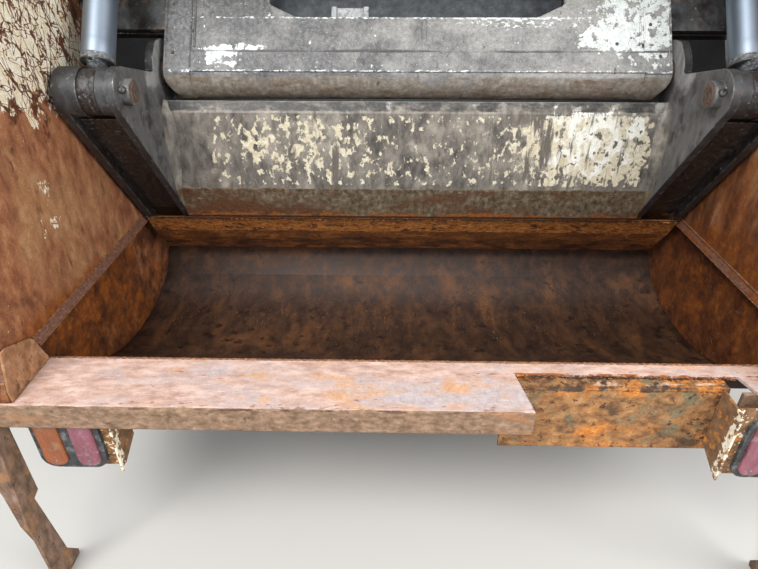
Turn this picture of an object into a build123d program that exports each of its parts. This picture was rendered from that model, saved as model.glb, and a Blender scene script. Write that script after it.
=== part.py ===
from build123d import *
from math import acos, atan2, cos, degrees, hypot, radians, sin, tan
import os

# Rear loading tailgate of a refuse truck, in millimetres.
# X is to the right seen from behind, Y points forward to the cab, Z is up.
# Side outlines are drawn as (y, z) from the sill's inner edge. The whole model is then moved
# so that the origin lies on the roof hinge line, at the middle of the tailgate.

# Hull
HINGE_Y = 1620.0
HINGE_Z = 2150.0
INNER_HALF = 1016.0
WALL = 74.0
RECESS = 30.0
RIDGE_Z = 60.0
RIDGE_BACK = 32.0
RIDGE_LIP = 10.0
RIDGE_EDGE = 5.0
RIDGE_BAND = 28.0
RIDGE_FRONT_Y = 1420.0
REAR_RISE = 30.0
KNEE_Y = 155.0
KNEE_Z = 139.0
HULL_LEAN = 30.0
FRONT_Y = 1660.0
ROOF_Z = 2080.0
ROOF_THICK = 60.0
HEADER_DEPTH = 90.0
HEADER_DROP = 60.0
HOOD_FOOT_Z = 1250.0
HOOD_PLATE = 25.0
HOOD_HEM = 40.0

# Hopper floor
FLOOR_PLATE = 12.0
FLOOR_GAP = 20.0
THRESHOLD_Y = 1220.0
THRESHOLD_Z = RIDGE_Z
WALL_BELOW_FLOOR = 46.0
SKIRT_BELOW_THRESHOLD = 74.0

# Stiffeners, pressed as hats
RIB_DEPTH = 45.0
RIB_WIDTH = 90.0
RIB_TAPER = 12.0
RIB_INSET = 14.0
REAR_RIB_FOOT_Z = 300.0
BELT_RIB_Y = 620.0
BELT_RIB_Z = 150.0
CROSS_RIB_Y = 1270.0
CROSS_RIB_Z = 760.0
TOP_RIB_Z = 1820.0

# Sill
SILL_DEPTH = 192.0
SILL_PLATE = 10.0
SILL_FLANGE = 73.0
SILL_STRIP = 46.0
SILL_GUSSET = 10.0
GUSSET_PITCH = 320.0
GUSSET_CLEAR = 42.0
NOTCH_WALL_GAP = 171.0
NOTCH_WIDTH = 588.0
NOTCH_LEFT_SKEW = 26.0
NOTCH_RIGHT_SKEW = 43.0
SUPPORT_WIDTH = 183.0
SUPPORT_Y = -100.0
SUPPORT_DROP = 102.0
REAR_PANEL_LAP = 27.0
REAR_PANEL_SHORT = 37.0
REAR_PANEL_LEDGE = 20.0
REAR_PANEL_SKEW = 23.0
REAR_PANEL_Y = -84.0
REAR_PANEL_DROP = 228.0
REAR_PANEL_PLATE = 8.0

# Blade and its linkage
LEAN = 36.0
PIVOT = (742.0, 610.0)
EYE = (412.0, 618.0)
SLIDE_DOWN = 200.0
SLIDE_UP = 500.0
BLADE_FORWARD = 10.0
LUG_RADIUS = 68.0
LUG_ROUND = 8.0
LUG_STEP = 4.0
HORN_RADIUS = 101.0
HORN_FOOT = (652.0, 624.0)
HORN_CREST = (700.0, 711.0)
HORN_FOOT_ROUND = 45.0
HORN_CREST_ROUND = 28.0
ARM_GAP = 16.0
ARM_WIDTH = 175.0
PLATE_THICK = 25.0
OUTER_LUG = 71.0
EYE_WIDTH = 46.0
EYE_SIDE_GAP = 0.3
PIN_BOSS_RADIUS = 37.0
PIN_BOSS_LENGTH = 28.0
PIN_RADIUS = 26.0
PIN_PROUD = 3.0
PIN_CENTRE_HOLE = 3.0
WEB_DEPTH = 28.0
WEB_PLATE = 12.0
WEB_FROM_EYE = 82.0
HINGE_PIN_RADIUS = 45.0
RUNNING_FIT = 0.05
FACE_TOP = (666.0, 496.0)
FACE_BEND = (654.0, 235.0)
FACE_FOOT = (705.0, 110.0)
LIP_TOP = (734.0, 89.0)
LIP_TIP = (891.0, -119.0)
LIP_THICK = 16.0
LIP_FACET = 95.0
LIP_BULGE = 7.0
LIP_FRONT_SET = 4.0
LIP_FRONT_RISE = 150.0
CRADLE_FRONT = (122.0, -66.0)
BLADE_FRONT = (905.0, 330.0)

# Sweep cylinders
SWEEP_LENGTH = 1060.0
ROD_RADIUS = 45.0
ROD_SHOULDER = 14.0
ROD_EYE_RADIUS = 62.0
ROD_NECK = 98.0
ROD_INSIDE = 440.0
BARREL_RADIUS = 75.0
BARREL_WALL = 12.0
BARREL_LENGTH = 600.0
BARREL_HEAD = 78.0
BARREL_EYE_RADIUS = 60.0
GLAND = 60.0
GLAND_RADIUS = 83.0
PORT_RADIUS = 18.0
PORT_RISE = 22.0
ANCHOR_PIN_RADIUS = 30.0
CHEEK_THICK = 25.0
CHEEK_GAP = 2.0
CHEEK_BACK = 66.0
CHEEK_TOP_BACK = 20.0
CHEEK_LOW_BACK = 40.0
CHEEK_LOW = 54.0
CHEEK_FRONT = 90.0
CHEEK_FOOT = 40.0

# Carriage
PANEL_GAP = 22.0
BOX_HALF = 71.0
SKIN = 12.0
NOSE_DROP = 14.0
HEAD_RISE = 27.5
HEAD_PLATE = 30.0
HEAD_GAP = 51.0
WINDOW_LOW = 148.0
WINDOW_SHOULDER = 42.0
WINDOW_HIGH = 640.0
WINDOW_SIDE = 333.0
WINDOW_TAPER = 86.0
WINDOW_CORNER = 18.0
WINDOW_TAB = 145.0
PANEL_GROOVE_LOW = 62.0
PANEL_GROOVE_HIGH = 140.0
PANEL_GROOVE_WIDTH = 16.0
PANEL_GROOVE_X = 26.0
PANEL_GROOVE_DEPTH = 2.0
EDGE_STRIP = 84.0
EDGE_STRIP_THICK = 3.0
END_PLATE = 20.0
END_CORNER = 50.0
LAP_LOW = -32.0
LAP_HIGH = 33.0
LAP_THICK = 2.5
RIB_PLATE = 20.0
RIB_CLEAR = 50.0
CRADLE_GAP = 12.0

# Guide shoes and tracks
SHOE_OFFSET = 60.0
SHOE_HALF = 45.0
SHOE_LENGTH = 120.0
SHOE_LOW = 180.0
SHOE_HIGH = 650.0
SHOE_INSET = 8.0
SHOE_PROUD = 10.0
ARM_HALF = 74.0
ARM_REACH = 50.0
TRACK_GAP = 5.5
TRACK_RAIL = 16.0

# Slide cylinders on the outside of the walls
SLIDE_STANDOFF = 68.0
SLIDE_BARREL_RADIUS = 55.0
SLIDE_GLAND_RADIUS = 60.0
SLIDE_ROD_RADIUS = 35.0
SLIDE_EYE_RADIUS = 52.0
SLIDE_EYE_WIDTH = 50.0
SLIDE_DEAD_LENGTH = 275.0
SLIDE_ROD_INSIDE = 150.0
SLIDE_NECK = 70.0
SLIDE_CAP = 40.0
SLIDE_PAD_RADIUS = 80.0
SLIDE_PAD = 16.0
SADDLE_NEAR = 40.0
SADDLE_FAR = 75.0
SADDLE_INSET = 10.0
NECK_INSET = 1.0
TRUNNION_RADIUS = 28.0

# Lamps and step hangers
LAMP_SET = 34.0
LAMP_TOP = -48.0
LAMP_HEIGHT = 180.0
LENS_WIDTH = 62.0
LENS_DEPTH = 20.0
LENS_ROUND = 5.0
LENS_PITCH = 89.0
LAMP_RED_INSET = 82.0
GASKET_RIM = 14.0
GASKET_DEPTH = 12.0
BRACKET_PLATE = 6.0
BRACKET_GAP = 2.0
BRACKET_WIDTH = 219.0
CHEEK_LENGTH = 94.0
CHEEK_RISE = 45.0
HANGER_INSET = 49.0
HANGER_PLATE = 10.0
HANGER_FLANGE = 60.0
HANGER_FRONT = 27.0
HANGER_DROP = 700.0
HANGER_HEEL = (-32.0, -147.0)
HANGER_CALF = (-57.0, -395.0)
HANGER_ANKLE = (-51.0, -470.0)
HANGER_NOTCH = (3.0, -351.0)
HANGER_SHIN = (24.0, -543.0)
HANGER_HOOK = (71.0, -683.0)

# Hinge ears, latch lugs
EAR_INSET = 416.0
EAR_WIDTH = 80.0
EAR_FOOT = 170.0
EAR_CLEAR = 15.0
HINGE_BORE = 25.4
LATCH_BORE = 20.5
LATCH_PLATE = 40.0
LATCH_Z = 320.0
LATCH_REACH = 30.0
LATCH_FOOT = 70.0
LATCH_LAP = 10.0

# Widths that follow from the hull's, and depths that follow from the sill's
REAR_Y = SILL_DEPTH - SILL_PLATE
LAMP_Y = -SILL_DEPTH + LAMP_SET
PLATE_OUT = INNER_HALF - ARM_GAP
PLATE_IN = PLATE_OUT - ARM_WIDTH
EYE_CENTRE = PLATE_OUT - OUTER_LUG - EYE_WIDTH / 2
CARRIAGE_HALF = PLATE_IN - PANEL_GAP
HEAD_HALF = INNER_HALF - HEAD_GAP
WINDOW_HALF = CARRIAGE_HALF - WINDOW_SIDE
WINDOW_FOOT_HALF = WINDOW_HALF - WINDOW_TAPER
SLIDE_X = INNER_HALF + WALL + SLIDE_STANDOFF
HANGER_X = INNER_HALF + HANGER_INSET
BRACKET_OUTER = INNER_HALF - BRACKET_GAP
BRACKET_INNER = BRACKET_OUTER - BRACKET_WIDTH
LAMP_RED_X = BRACKET_INNER + LAMP_RED_INSET
EAR_X = INNER_HALF - EAR_INSET
SUPPORT_INNER = INNER_HALF - SUPPORT_WIDTH
NOTCH_RIGHT = INNER_HALF - NOTCH_WALL_GAP
NOTCH_LEFT = NOTCH_RIGHT - NOTCH_WIDTH

SLIDE_STROKE = SLIDE_DOWN + SLIDE_UP
T_DIR = (sin(radians(LEAN)), cos(radians(LEAN)))
N_DIR = (-T_DIR[1], T_DIR[0])


def track_point(along, off):
    """Point (y, z) at a distance along the slide direction from the pivot, and off it to the rear."""
    return (PIVOT[0] + along * T_DIR[0] + off * N_DIR[0], PIVOT[1] + along * T_DIR[1] + off * N_DIR[1])


def at_angle(centre, radius, angle):
    """Point (y, z) on a circle, the angle counted from forward towards up."""
    return (centre[0] + radius * cos(radians(angle)), centre[1] + radius * sin(radians(angle)))


def hull_rear(z, inset=0.0):
    """Point (y, z) on the slanted rear edge of the hull, or inside it."""
    return (-KNEE_Y + (z - KNEE_Z) * tan(radians(HULL_LEAN)) + inset / cos(radians(HULL_LEAN)), z)


def cylinder_point(distance):
    """Point (y, z) on a sweep cylinder's line, counted down from its anchor."""
    return (ANCHOR[0] - distance * T_DIR[0], ANCHOR[1] - distance * T_DIR[1])


def x_extrude(face, x_from, x_to):
    """Solid between two X positions from a face in the YZ plane."""
    return extrude(Pos(x_from, 0, 0) * face, x_to - x_from, dir=(1, 0, 0))


def slab(points, x_from, x_to):
    """Solid between two X positions with a polygonal outline in (y, z)."""
    return x_extrude(make_face(Plane.YZ * Polyline(*points, close=True)), x_from, x_to)


def strip(low, high, near, far, x_from, x_to):
    """Block between two distances along the slide direction and two offsets from it."""
    corners = [track_point(low, near), track_point(high, near), track_point(high, far), track_point(low, far)]
    return slab(corners, x_from, x_to)


def disc(centre, radius, x_from, x_to):
    """Round solid along X about a point (y, z)."""
    place = Plane(origin=(x_from, centre[0], centre[1]), x_dir=(0, 1, 0), z_dir=(1, 0, 0))
    return extrude(place * Circle(radius), x_to - x_from)


def round_bar(start, end, radius, x):
    """Round solid from one point (y, z) to another at one X."""
    base = Vector(x, start[0], start[1])
    tip = Vector(x, end[0], end[1])
    return extrude(Plane(origin=base, z_dir=tip - base) * Circle(radius), (tip - base).length)


def mirrored(shape):
    """The right hand copy of a left hand shape."""
    return mirror(shape, about=Plane.YZ)


def joined(shapes):
    """One shape from a list."""
    whole = shapes[0]
    for shape in shapes[1:]:
        whole = whole + shape
    return whole


TIP_RADIUS = hypot(LIP_TIP[0] - PIVOT[0], LIP_TIP[1] - PIVOT[1])
TIP_ANGLE = degrees(atan2(LIP_TIP[1] - PIVOT[1], LIP_TIP[0] - PIVOT[0])) + 360.0
LOW_PIVOT = track_point(-SLIDE_DOWN, 0.0)
LIP_FRONT = (LIP_TIP[0] + LIP_FRONT_SET, LIP_TIP[1] + LIP_FRONT_RISE)
FLOOR_RADIUS = TIP_RADIUS + FLOOR_GAP
SILL_REACH = hypot(*LOW_PIVOT)
TANGENT_ANGLE = degrees(acos(min(1.0, FLOOR_RADIUS / SILL_REACH)))
FLOOR_START = degrees(atan2(-LOW_PIVOT[1], -LOW_PIVOT[0])) + 360.0 + TANGENT_ANGLE
FLOOR_END = TIP_ANGLE + BLADE_FORWARD
ANCHOR = (EYE[0] + SWEEP_LENGTH * T_DIR[0], EYE[1] + SWEEP_LENGTH * T_DIR[1])
ANCHOR_S = (ANCHOR[0] - PIVOT[0]) * T_DIR[0] + (ANCHOR[1] - PIVOT[1]) * T_DIR[1]
ANCHOR_OFF = (ANCHOR[0] - PIVOT[0]) * N_DIR[0] + (ANCHOR[1] - PIVOT[1]) * N_DIR[1]
TRACK_LOW = SHOE_LOW - SLIDE_DOWN - SHOE_LENGTH / 2 - TRACK_GAP
TRACK_HIGH = SHOE_HIGH + SLIDE_UP + SHOE_LENGTH / 2 + TRACK_GAP
SLIDE_FOOT_S = SHOE_HIGH - SLIDE_DOWN - SLIDE_STROKE - SLIDE_DEAD_LENGTH
SLIDE_TOP_S = SHOE_HIGH - SLIDE_DOWN - SLIDE_EYE_RADIUS - 50.0
BOX_TOP = ANCHOR_S + HEAD_RISE
NOSE_CENTRE = track_point(-NOSE_DROP, 0.0)
REAR_TURN = degrees(atan2(N_DIR[1], N_DIR[0]))


def arc_face(before, centre, radius, start, end, after):
    """Face in the YZ plane: straight points, one arc about a centre, then straight points."""
    first = at_angle(centre, radius, start)
    middle = at_angle(centre, radius, (start + end) / 2.0)
    last = at_angle(centre, radius, end)
    edges = Polyline(*before, first) + ThreePointArc(first, middle, last)
    edges += Polyline(last, *after, before[0])
    return make_face(Plane.YZ * edges)


def hull_face(below):
    """Side outline of the hull, its belly a given distance under the hopper floor."""
    before = [(FRONT_Y, ROOF_Z), hull_rear(ROOF_Z), (-KNEE_Y, KNEE_Z), (-REAR_Y, REAR_RISE),
              (-REAR_Y, -SILL_FLANGE)]
    skirt = THRESHOLD_Z - SKIRT_BELOW_THRESHOLD
    after = [(THRESHOLD_Y + below, skirt), (FRONT_Y, skirt)]
    return arc_face(before, LOW_PIVOT, FLOOR_RADIUS + below, FLOOR_START, FLOOR_END, after)


def side_wall_left():
    """Whole left wall with the slot of the track, the set-back lower side and the sloped ridge above it."""
    wall = x_extrude(hull_face(WALL_BELOW_FLOOR), -INNER_HALF - WALL, -INNER_HALF)
    reach = SHOE_HALF + TRACK_GAP + TRACK_RAIL
    slot = strip(TRACK_LOW, TRACK_HIGH, SHOE_OFFSET - reach, SHOE_OFFSET + reach,
                 -INNER_HALF - WALL - 1, -INNER_HALF + 1)
    deep = -2 * FLOOR_RADIUS
    foot = RIDGE_BACK * RIDGE_Z / (RIDGE_Z + RIDGE_BAND)
    recess = slab([(-foot, RIDGE_Z), (RIDGE_FRONT_Y, RIDGE_Z), (RIDGE_FRONT_Y, deep), (0, deep), (0, 0)],
                  -INNER_HALF - RECESS, -INNER_HALF + 1)
    crest = RIDGE_Z + RIDGE_BAND
    plane = Plane(origin=(-INNER_HALF, RIDGE_FRONT_Y, 0), x_dir=(1, 0, 0), z_dir=(0, -1, 0))
    section = Polyline((0, RIDGE_Z), (RIDGE_LIP, RIDGE_Z), (RIDGE_LIP, RIDGE_Z + RIDGE_EDGE), (0, crest),
                       close=True)
    ridge = extrude(plane * make_face(section), RIDGE_FRONT_Y + 2 * RIDGE_BACK)
    side = slab([(-foot, RIDGE_Z), (RIDGE_FRONT_Y, RIDGE_Z), (RIDGE_FRONT_Y, crest), (-RIDGE_BACK, crest)],
                -INNER_HALF, -INNER_HALF + RIDGE_LIP)
    return wall - slot - recess + (ridge & side)


def track_left():
    """Pair of guide rails that line the slot of the left wall."""
    rails = []
    for side in (-1, 1):
        near = SHOE_OFFSET + side * (SHOE_HALF + TRACK_GAP)
        rails.append(strip(TRACK_LOW, TRACK_HIGH, near, near + side * TRACK_RAIL,
                           -INNER_HALF - WALL, -INNER_HALF))
    return rails[0] + rails[1]


def hat_rib(start, end, width, x_face, depth):
    """Pressed hat stiffener on the outside of the left wall, centred on a line of (y, z) points."""
    run = Vector(0, end[0] - start[0], end[1] - start[1])
    middle = (x_face, (start[0] + end[0]) / 2, (start[1] + end[1]) / 2)
    place = Plane(origin=middle, x_dir=run, z_dir=(-1, 0, 0))
    return extrude(place * Rectangle(run.length, width), depth, taper=RIB_TAPER)


def wall_ribs_left():
    """Hat stiffeners outside the left wall: rear edge, front edge, belt and upper cross ribs."""
    outside = -INNER_HALF - WALL
    inset = RIB_INSET + RIB_WIDTH / 2
    front_y = FRONT_Y - inset
    front_end = front_y - RIB_WIDTH / 2
    table = [
        (hull_rear(REAR_RIB_FOOT_Z, inset), hull_rear(ROOF_Z - RIB_INSET - RIB_WIDTH, inset)),
        ((front_y, THRESHOLD_Z + RIB_INSET), (front_y, ROOF_Z - RIB_INSET)),
        ((BELT_RIB_Y, BELT_RIB_Z), (front_end, BELT_RIB_Z)),
        ((CROSS_RIB_Y, CROSS_RIB_Z), (front_end, CROSS_RIB_Z)),
        ((hull_rear(TOP_RIB_Z, inset)[0] + RIB_WIDTH, TOP_RIB_Z), (front_end, TOP_RIB_Z)),
    ]
    return joined([hat_rib(start, end, RIB_WIDTH, outside, RIB_DEPTH) for start, end in table])


def floor_ribs():
    """Hat channels across the underside of the hopper floor."""
    ribs = []
    base = FLOOR_RADIUS + FLOOR_PLATE
    count = 4
    for index in range(count):
        angle = FLOOR_START + 8 + index * (FLOOR_END - FLOOR_START - 16) / (count - 1)
        spread = degrees(RIB_WIDTH / 2 / base)
        reach = base + WALL_BELOW_FLOOR - FLOOR_PLATE
        narrow = spread * 0.6
        points = [at_angle(LOW_PIVOT, base, angle - spread), at_angle(LOW_PIVOT, reach, angle - narrow),
                  at_angle(LOW_PIVOT, reach, angle + narrow), at_angle(LOW_PIVOT, base, angle + spread)]
        edges = Polyline(*points) + ThreePointArc(points[3], at_angle(LOW_PIVOT, base, angle), points[0])
        ribs.append(x_extrude(make_face(Plane.YZ * edges), -INNER_HALF - RECESS, INNER_HALF + RECESS))
    return joined(ribs)


def hopper_floor():
    """Curved pan from the sill to the front threshold, just outside the path of the blade's tip."""
    inner = FLOOR_RADIUS
    outer = FLOOR_RADIUS + FLOOR_PLATE
    foot = at_angle(LOW_PIVOT, inner, FLOOR_END)
    ramp = atan2(THRESHOLD_Z - foot[1], THRESHOLD_Y - foot[0])
    mitre = FLOOR_PLATE * tan(ramp / 2.0)
    middle = (FLOOR_START + FLOOR_END) / 2
    inside = [at_angle(LOW_PIVOT, inner, angle) for angle in (FLOOR_START, middle, FLOOR_END)]
    outside = [at_angle(LOW_PIVOT, outer, angle) for angle in (FLOOR_END, middle, FLOOR_START)]
    under = THRESHOLD_Z - FLOOR_PLATE
    edges = Polyline((0, -SILL_PLATE), inside[0]) + ThreePointArc(*inside)
    edges += Polyline(inside[2], (THRESHOLD_Y, THRESHOLD_Z), (FRONT_Y, THRESHOLD_Z), (FRONT_Y, under),
                      (THRESHOLD_Y + mitre, under), outside[0])
    edges += ThreePointArc(*outside)
    edges += Polyline(outside[2], (-FLOOR_PLATE * 0.75, -SILL_PLATE), (0, -SILL_PLATE))
    half = INNER_HALF + RECESS
    pan = x_extrude(make_face(Plane.YZ * edges), -half, half)
    tall = 2 * FLOOR_RADIUS
    for y_from, y_to in ((-REAR_Y, 0.0), (RIDGE_FRONT_Y, FRONT_Y + 1)):
        trim = slab([(y_from, -tall), (y_to, -tall), (y_to, tall), (y_from, tall)], -half - 1, -INNER_HALF)
        pan = pan - trim - mirrored(trim)
    return pan


def sill_plate():
    """Sill with its turned down flange, gussets under it and the piece cut away at the right."""
    under = SILL_DEPTH - SILL_PLATE
    profile = [(-SILL_DEPTH, 0), (-SILL_DEPTH, -SILL_FLANGE), (-under, -SILL_FLANGE), (-under, -SILL_PLATE)]
    middle = slab([(0, 0)] + profile + [(0, -SILL_PLATE)], -INNER_HALF, INNER_HALF)
    ends = slab([(-REAR_Y, 0), (-SILL_DEPTH, 0), (-SILL_DEPTH, -SILL_FLANGE), (-REAR_Y, -SILL_FLANGE)],
                -INNER_HALF - WALL, INNER_HALF + WALL)
    rolled = (middle + ends).edges().filter_by(Axis.X).filter_by(
        lambda e: abs(e.center().Y + SILL_DEPTH) < 0.1 and abs(e.center().Z) < 0.1)
    sill = fillet(rolled, SILL_PLATE * 0.8)
    cut = Polyline((NOTCH_LEFT, -SILL_STRIP), (NOTCH_LEFT + NOTCH_LEFT_SKEW, -SILL_DEPTH - 1),
                   (NOTCH_RIGHT + NOTCH_RIGHT_SKEW, -SILL_DEPTH - 1), (NOTCH_RIGHT, -SILL_STRIP), close=True)
    sill -= extrude(Pos(0, 0, -SILL_FLANGE - 1) * make_face(cut), SILL_FLANGE + 2)
    triangle = [(-under, -SILL_PLATE), (-under, -SILL_FLANGE), (-SILL_STRIP, -SILL_PLATE)]
    last = NOTCH_LEFT - GUSSET_CLEAR
    for index in range(4):
        x = last - index * GUSSET_PITCH
        sill += slab(triangle, x, x + SILL_GUSSET)
    back = SUPPORT_Y - SILL_GUSSET / 2
    front = SUPPORT_Y + SILL_GUSSET / 2
    support = slab([(back, -SILL_PLATE), (back, -SUPPORT_DROP), (front, -SUPPORT_DROP), (front, -SILL_PLATE)],
                   SUPPORT_INNER, INNER_HALF)
    return sill + support + mirrored(support)


def rear_panel():
    """Panel under the sill behind the cut-out, with the ledge it hangs from and a slanted right end."""
    back = REAR_PANEL_Y
    front = back + REAR_PANEL_PLATE
    low = -SILL_PLATE - REAR_PANEL_PLATE
    angle = [(back, -SILL_PLATE), (-REAR_PANEL_LEDGE, -SILL_PLATE), (-REAR_PANEL_LEDGE, low), (front, low),
             (front, -REAR_PANEL_DROP), (back, -REAR_PANEL_DROP)]
    right = NOTCH_RIGHT - REAR_PANEL_SHORT
    whole = slab(angle, NOTCH_LEFT - REAR_PANEL_LAP, right + REAR_PANEL_SKEW)
    beyond = right + 2 * REAR_PANEL_SKEW
    end = Polyline((right, 0), (beyond, 0), (beyond, -REAR_PANEL_DROP),
                   (right + REAR_PANEL_SKEW, -REAR_PANEL_DROP), close=True)
    plane = Plane(origin=(0, back - 1, 0), x_dir=(1, 0, 0), z_dir=(0, -1, 0))
    return whole - extrude(plane * make_face(end), -REAR_PANEL_DROP)


def roof():
    """Roof panel between the walls, its rear edge cut to the hull's slant."""
    low = ROOF_Z - ROOF_THICK
    outline = [hull_rear(ROOF_Z), (FRONT_Y, ROOF_Z), (FRONT_Y, low), hull_rear(low)]
    return slab(outline, -INNER_HALF, INNER_HALF)


def hood():
    """Slanted rear hood above the loading opening, with a turned-in hem."""
    top = ROOF_Z - ROOF_THICK
    foot = HOOD_FOOT_Z
    plate = slab([hull_rear(foot), hull_rear(top), hull_rear(top, HOOD_PLATE), hull_rear(foot, HOOD_PLATE)],
                 -INNER_HALF, INNER_HALF)
    hem = slab([hull_rear(foot, HOOD_PLATE), hull_rear(foot + HOOD_PLATE, HOOD_PLATE),
                hull_rear(foot + HOOD_PLATE, HOOD_HEM), hull_rear(foot, HOOD_HEM)], -INNER_HALF, INNER_HALF)
    return plate + hem


def front_header():
    """Box beam across the top of the front opening."""
    top = ROOF_Z - ROOF_THICK
    low = top - HEADER_DROP
    back = FRONT_Y - HEADER_DEPTH
    return slab([(back, top), (FRONT_Y, top), (FRONT_Y, low), (back, low)], -INNER_HALF, INNER_HALF)


def hinge_ears():
    """Two ears on the roof that turn on the body's hinge pins."""
    centre = (HINGE_Y, HINGE_Z)
    radius = HINGE_Z - ROOF_Z - EAR_CLEAR
    base = [(FRONT_Y - EAR_FOOT, ROOF_Z), (FRONT_Y, ROOF_Z), (HINGE_Y + radius, HINGE_Z),
            (HINGE_Y - radius, HINGE_Z)]
    ears = []
    for x in (-EAR_X, EAR_X):
        low = x - EAR_WIDTH / 2
        high = x + EAR_WIDTH / 2
        ear = slab(base, low, high) + disc(centre, radius, low, high)
        ears.append(ear - disc(centre, HINGE_BORE, low - 1, high + 1))
    return ears[0] + ears[1]


def latch_lugs():
    """Lugs low on the front edge of each wall, for the body's latch pins."""
    outside = INNER_HALF + WALL
    centre = (FRONT_Y + LATCH_REACH, LATCH_Z)
    back = FRONT_Y - LATCH_LAP
    front = FRONT_Y + LATCH_LAP
    low = LATCH_Z - LATCH_FOOT
    high = LATCH_Z + LATCH_FOOT
    outline = [(back, low), (front, low), (centre[0], LATCH_Z - LATCH_PLATE),
               (centre[0], LATCH_Z + LATCH_PLATE), (front, high), (back, high)]
    plate = slab(outline, outside, outside + LATCH_PLATE)
    plate += disc(centre, LATCH_PLATE, outside, outside + LATCH_PLATE)
    plate -= disc(centre, LATCH_BORE, outside - 1, outside + LATCH_PLATE + 1)
    return plate + mirrored(plate)


def slide_barrel_left():
    """Slide cylinder barrel outside the left wall, with its foot pin, wall pad and upper saddle."""
    x = -SLIDE_X
    near = -INNER_HALF - WALL
    foot = track_point(SLIDE_FOOT_S, SHOE_OFFSET)
    body_low = track_point(SLIDE_FOOT_S + SLIDE_NECK, SHOE_OFFSET)
    body_high = track_point(SLIDE_TOP_S, SHOE_OFFSET)
    gland_low = track_point(SLIDE_TOP_S - GLAND, SHOE_OFFSET)
    beyond = track_point(SLIDE_TOP_S + 1, SHOE_OFFSET)
    half = SLIDE_EYE_WIDTH / 2
    shell = round_bar(body_low, body_high, SLIDE_BARREL_RADIUS, x)
    shell += round_bar(gland_low, body_high, SLIDE_GLAND_RADIUS, x)
    shell += disc(foot, SLIDE_EYE_RADIUS, x - half, x + half)
    shell += round_bar(foot, body_low, half - NECK_INSET, x)
    shell += disc(foot, TRUNNION_RADIUS, x - half - 12, near)
    shell += disc(foot, SLIDE_PAD_RADIUS, near - SLIDE_PAD, near)
    for side in (-1, 1):
        shell += strip(SLIDE_TOP_S - GLAND + SADDLE_INSET, SLIDE_TOP_S - SADDLE_INSET,
                       SHOE_OFFSET + side * SADDLE_NEAR, SHOE_OFFSET + side * SADDLE_FAR, x, near)
    bore_low = track_point(SLIDE_FOOT_S + SLIDE_NECK + SLIDE_CAP, SHOE_OFFSET)
    shell -= round_bar(bore_low, gland_low, SLIDE_BARREL_RADIUS - BARREL_WALL, x)
    return shell - round_bar(bore_low, beyond, SLIDE_ROD_RADIUS + RUNNING_FIT, x)


def slide_rod_left():
    """Slide cylinder rod with its eye on the trunnion of the upper shoe."""
    centre = track_point(SHOE_HIGH, SHOE_OFFSET)
    half = SLIDE_EYE_WIDTH / 2
    low = track_point(SLIDE_TOP_S - SLIDE_ROD_INSIDE, SHOE_OFFSET)
    shoulder = track_point(SHOE_HIGH - SLIDE_EYE_RADIUS, SHOE_OFFSET)
    rod = round_bar(low, shoulder, SLIDE_ROD_RADIUS, -SLIDE_X)
    rod += round_bar(shoulder, centre, half - NECK_INSET, -SLIDE_X)
    return rod + disc(centre, SLIDE_EYE_RADIUS, -SLIDE_X - half, -SLIDE_X + half)


def guide_shoes_left():
    """Two shoes in the left track, their box arms from the carriage, and the trunnion of the rod."""
    inner_face = -INNER_HALF + SHOE_PROUD
    outer_face = -INNER_HALF - WALL + SHOE_INSET
    shoes = []
    for along in (SHOE_LOW, SHOE_HIGH):
        half = SHOE_LENGTH / 2
        block = strip(along - half, along + half, SHOE_OFFSET - SHOE_HALF, SHOE_OFFSET + SHOE_HALF,
                      outer_face, inner_face)
        arm = strip(along - ARM_HALF, along + ARM_HALF, BOX_HALF - ARM_REACH, BOX_HALF,
                    inner_face, -CARRIAGE_HALF)
        lower = arm.edges().filter_by(Axis.X).sort_by(Axis.Z)[0]
        shoes.append(block + fillet(lower, ARM_REACH * 0.4))
    centre = track_point(SHOE_HIGH, SHOE_OFFSET)
    trunnion = disc(centre, TRUNNION_RADIUS, -SLIDE_X + SLIDE_EYE_WIDTH / 2, outer_face)
    return joined(shoes) + trunnion


def box_face(radius):
    """Section of the carriage's box in the YZ plane, with its rolled nose."""
    rear = at_angle(NOSE_CENTRE, radius, REAR_TURN)
    nose = at_angle(NOSE_CENTRE, radius, REAR_TURN + 90.0)
    front = at_angle(NOSE_CENTRE, radius, REAR_TURN + 180.0)
    edges = Polyline(front, track_point(BOX_TOP, -radius), track_point(BOX_TOP, radius), rear)
    edges += ThreePointArc(rear, nose, front)
    return make_face(Plane.YZ * edges)


def panel_outline(half, low, corner, high):
    """Sketch of the panel seen square on: straight sides and rounded lower corners."""
    sheet = make_face(Polyline((-half, low), (half, low), (half, high), (-half, high), close=True))
    return fillet(sheet.vertices().sort_by(Axis.Y)[0:2], corner)


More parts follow.
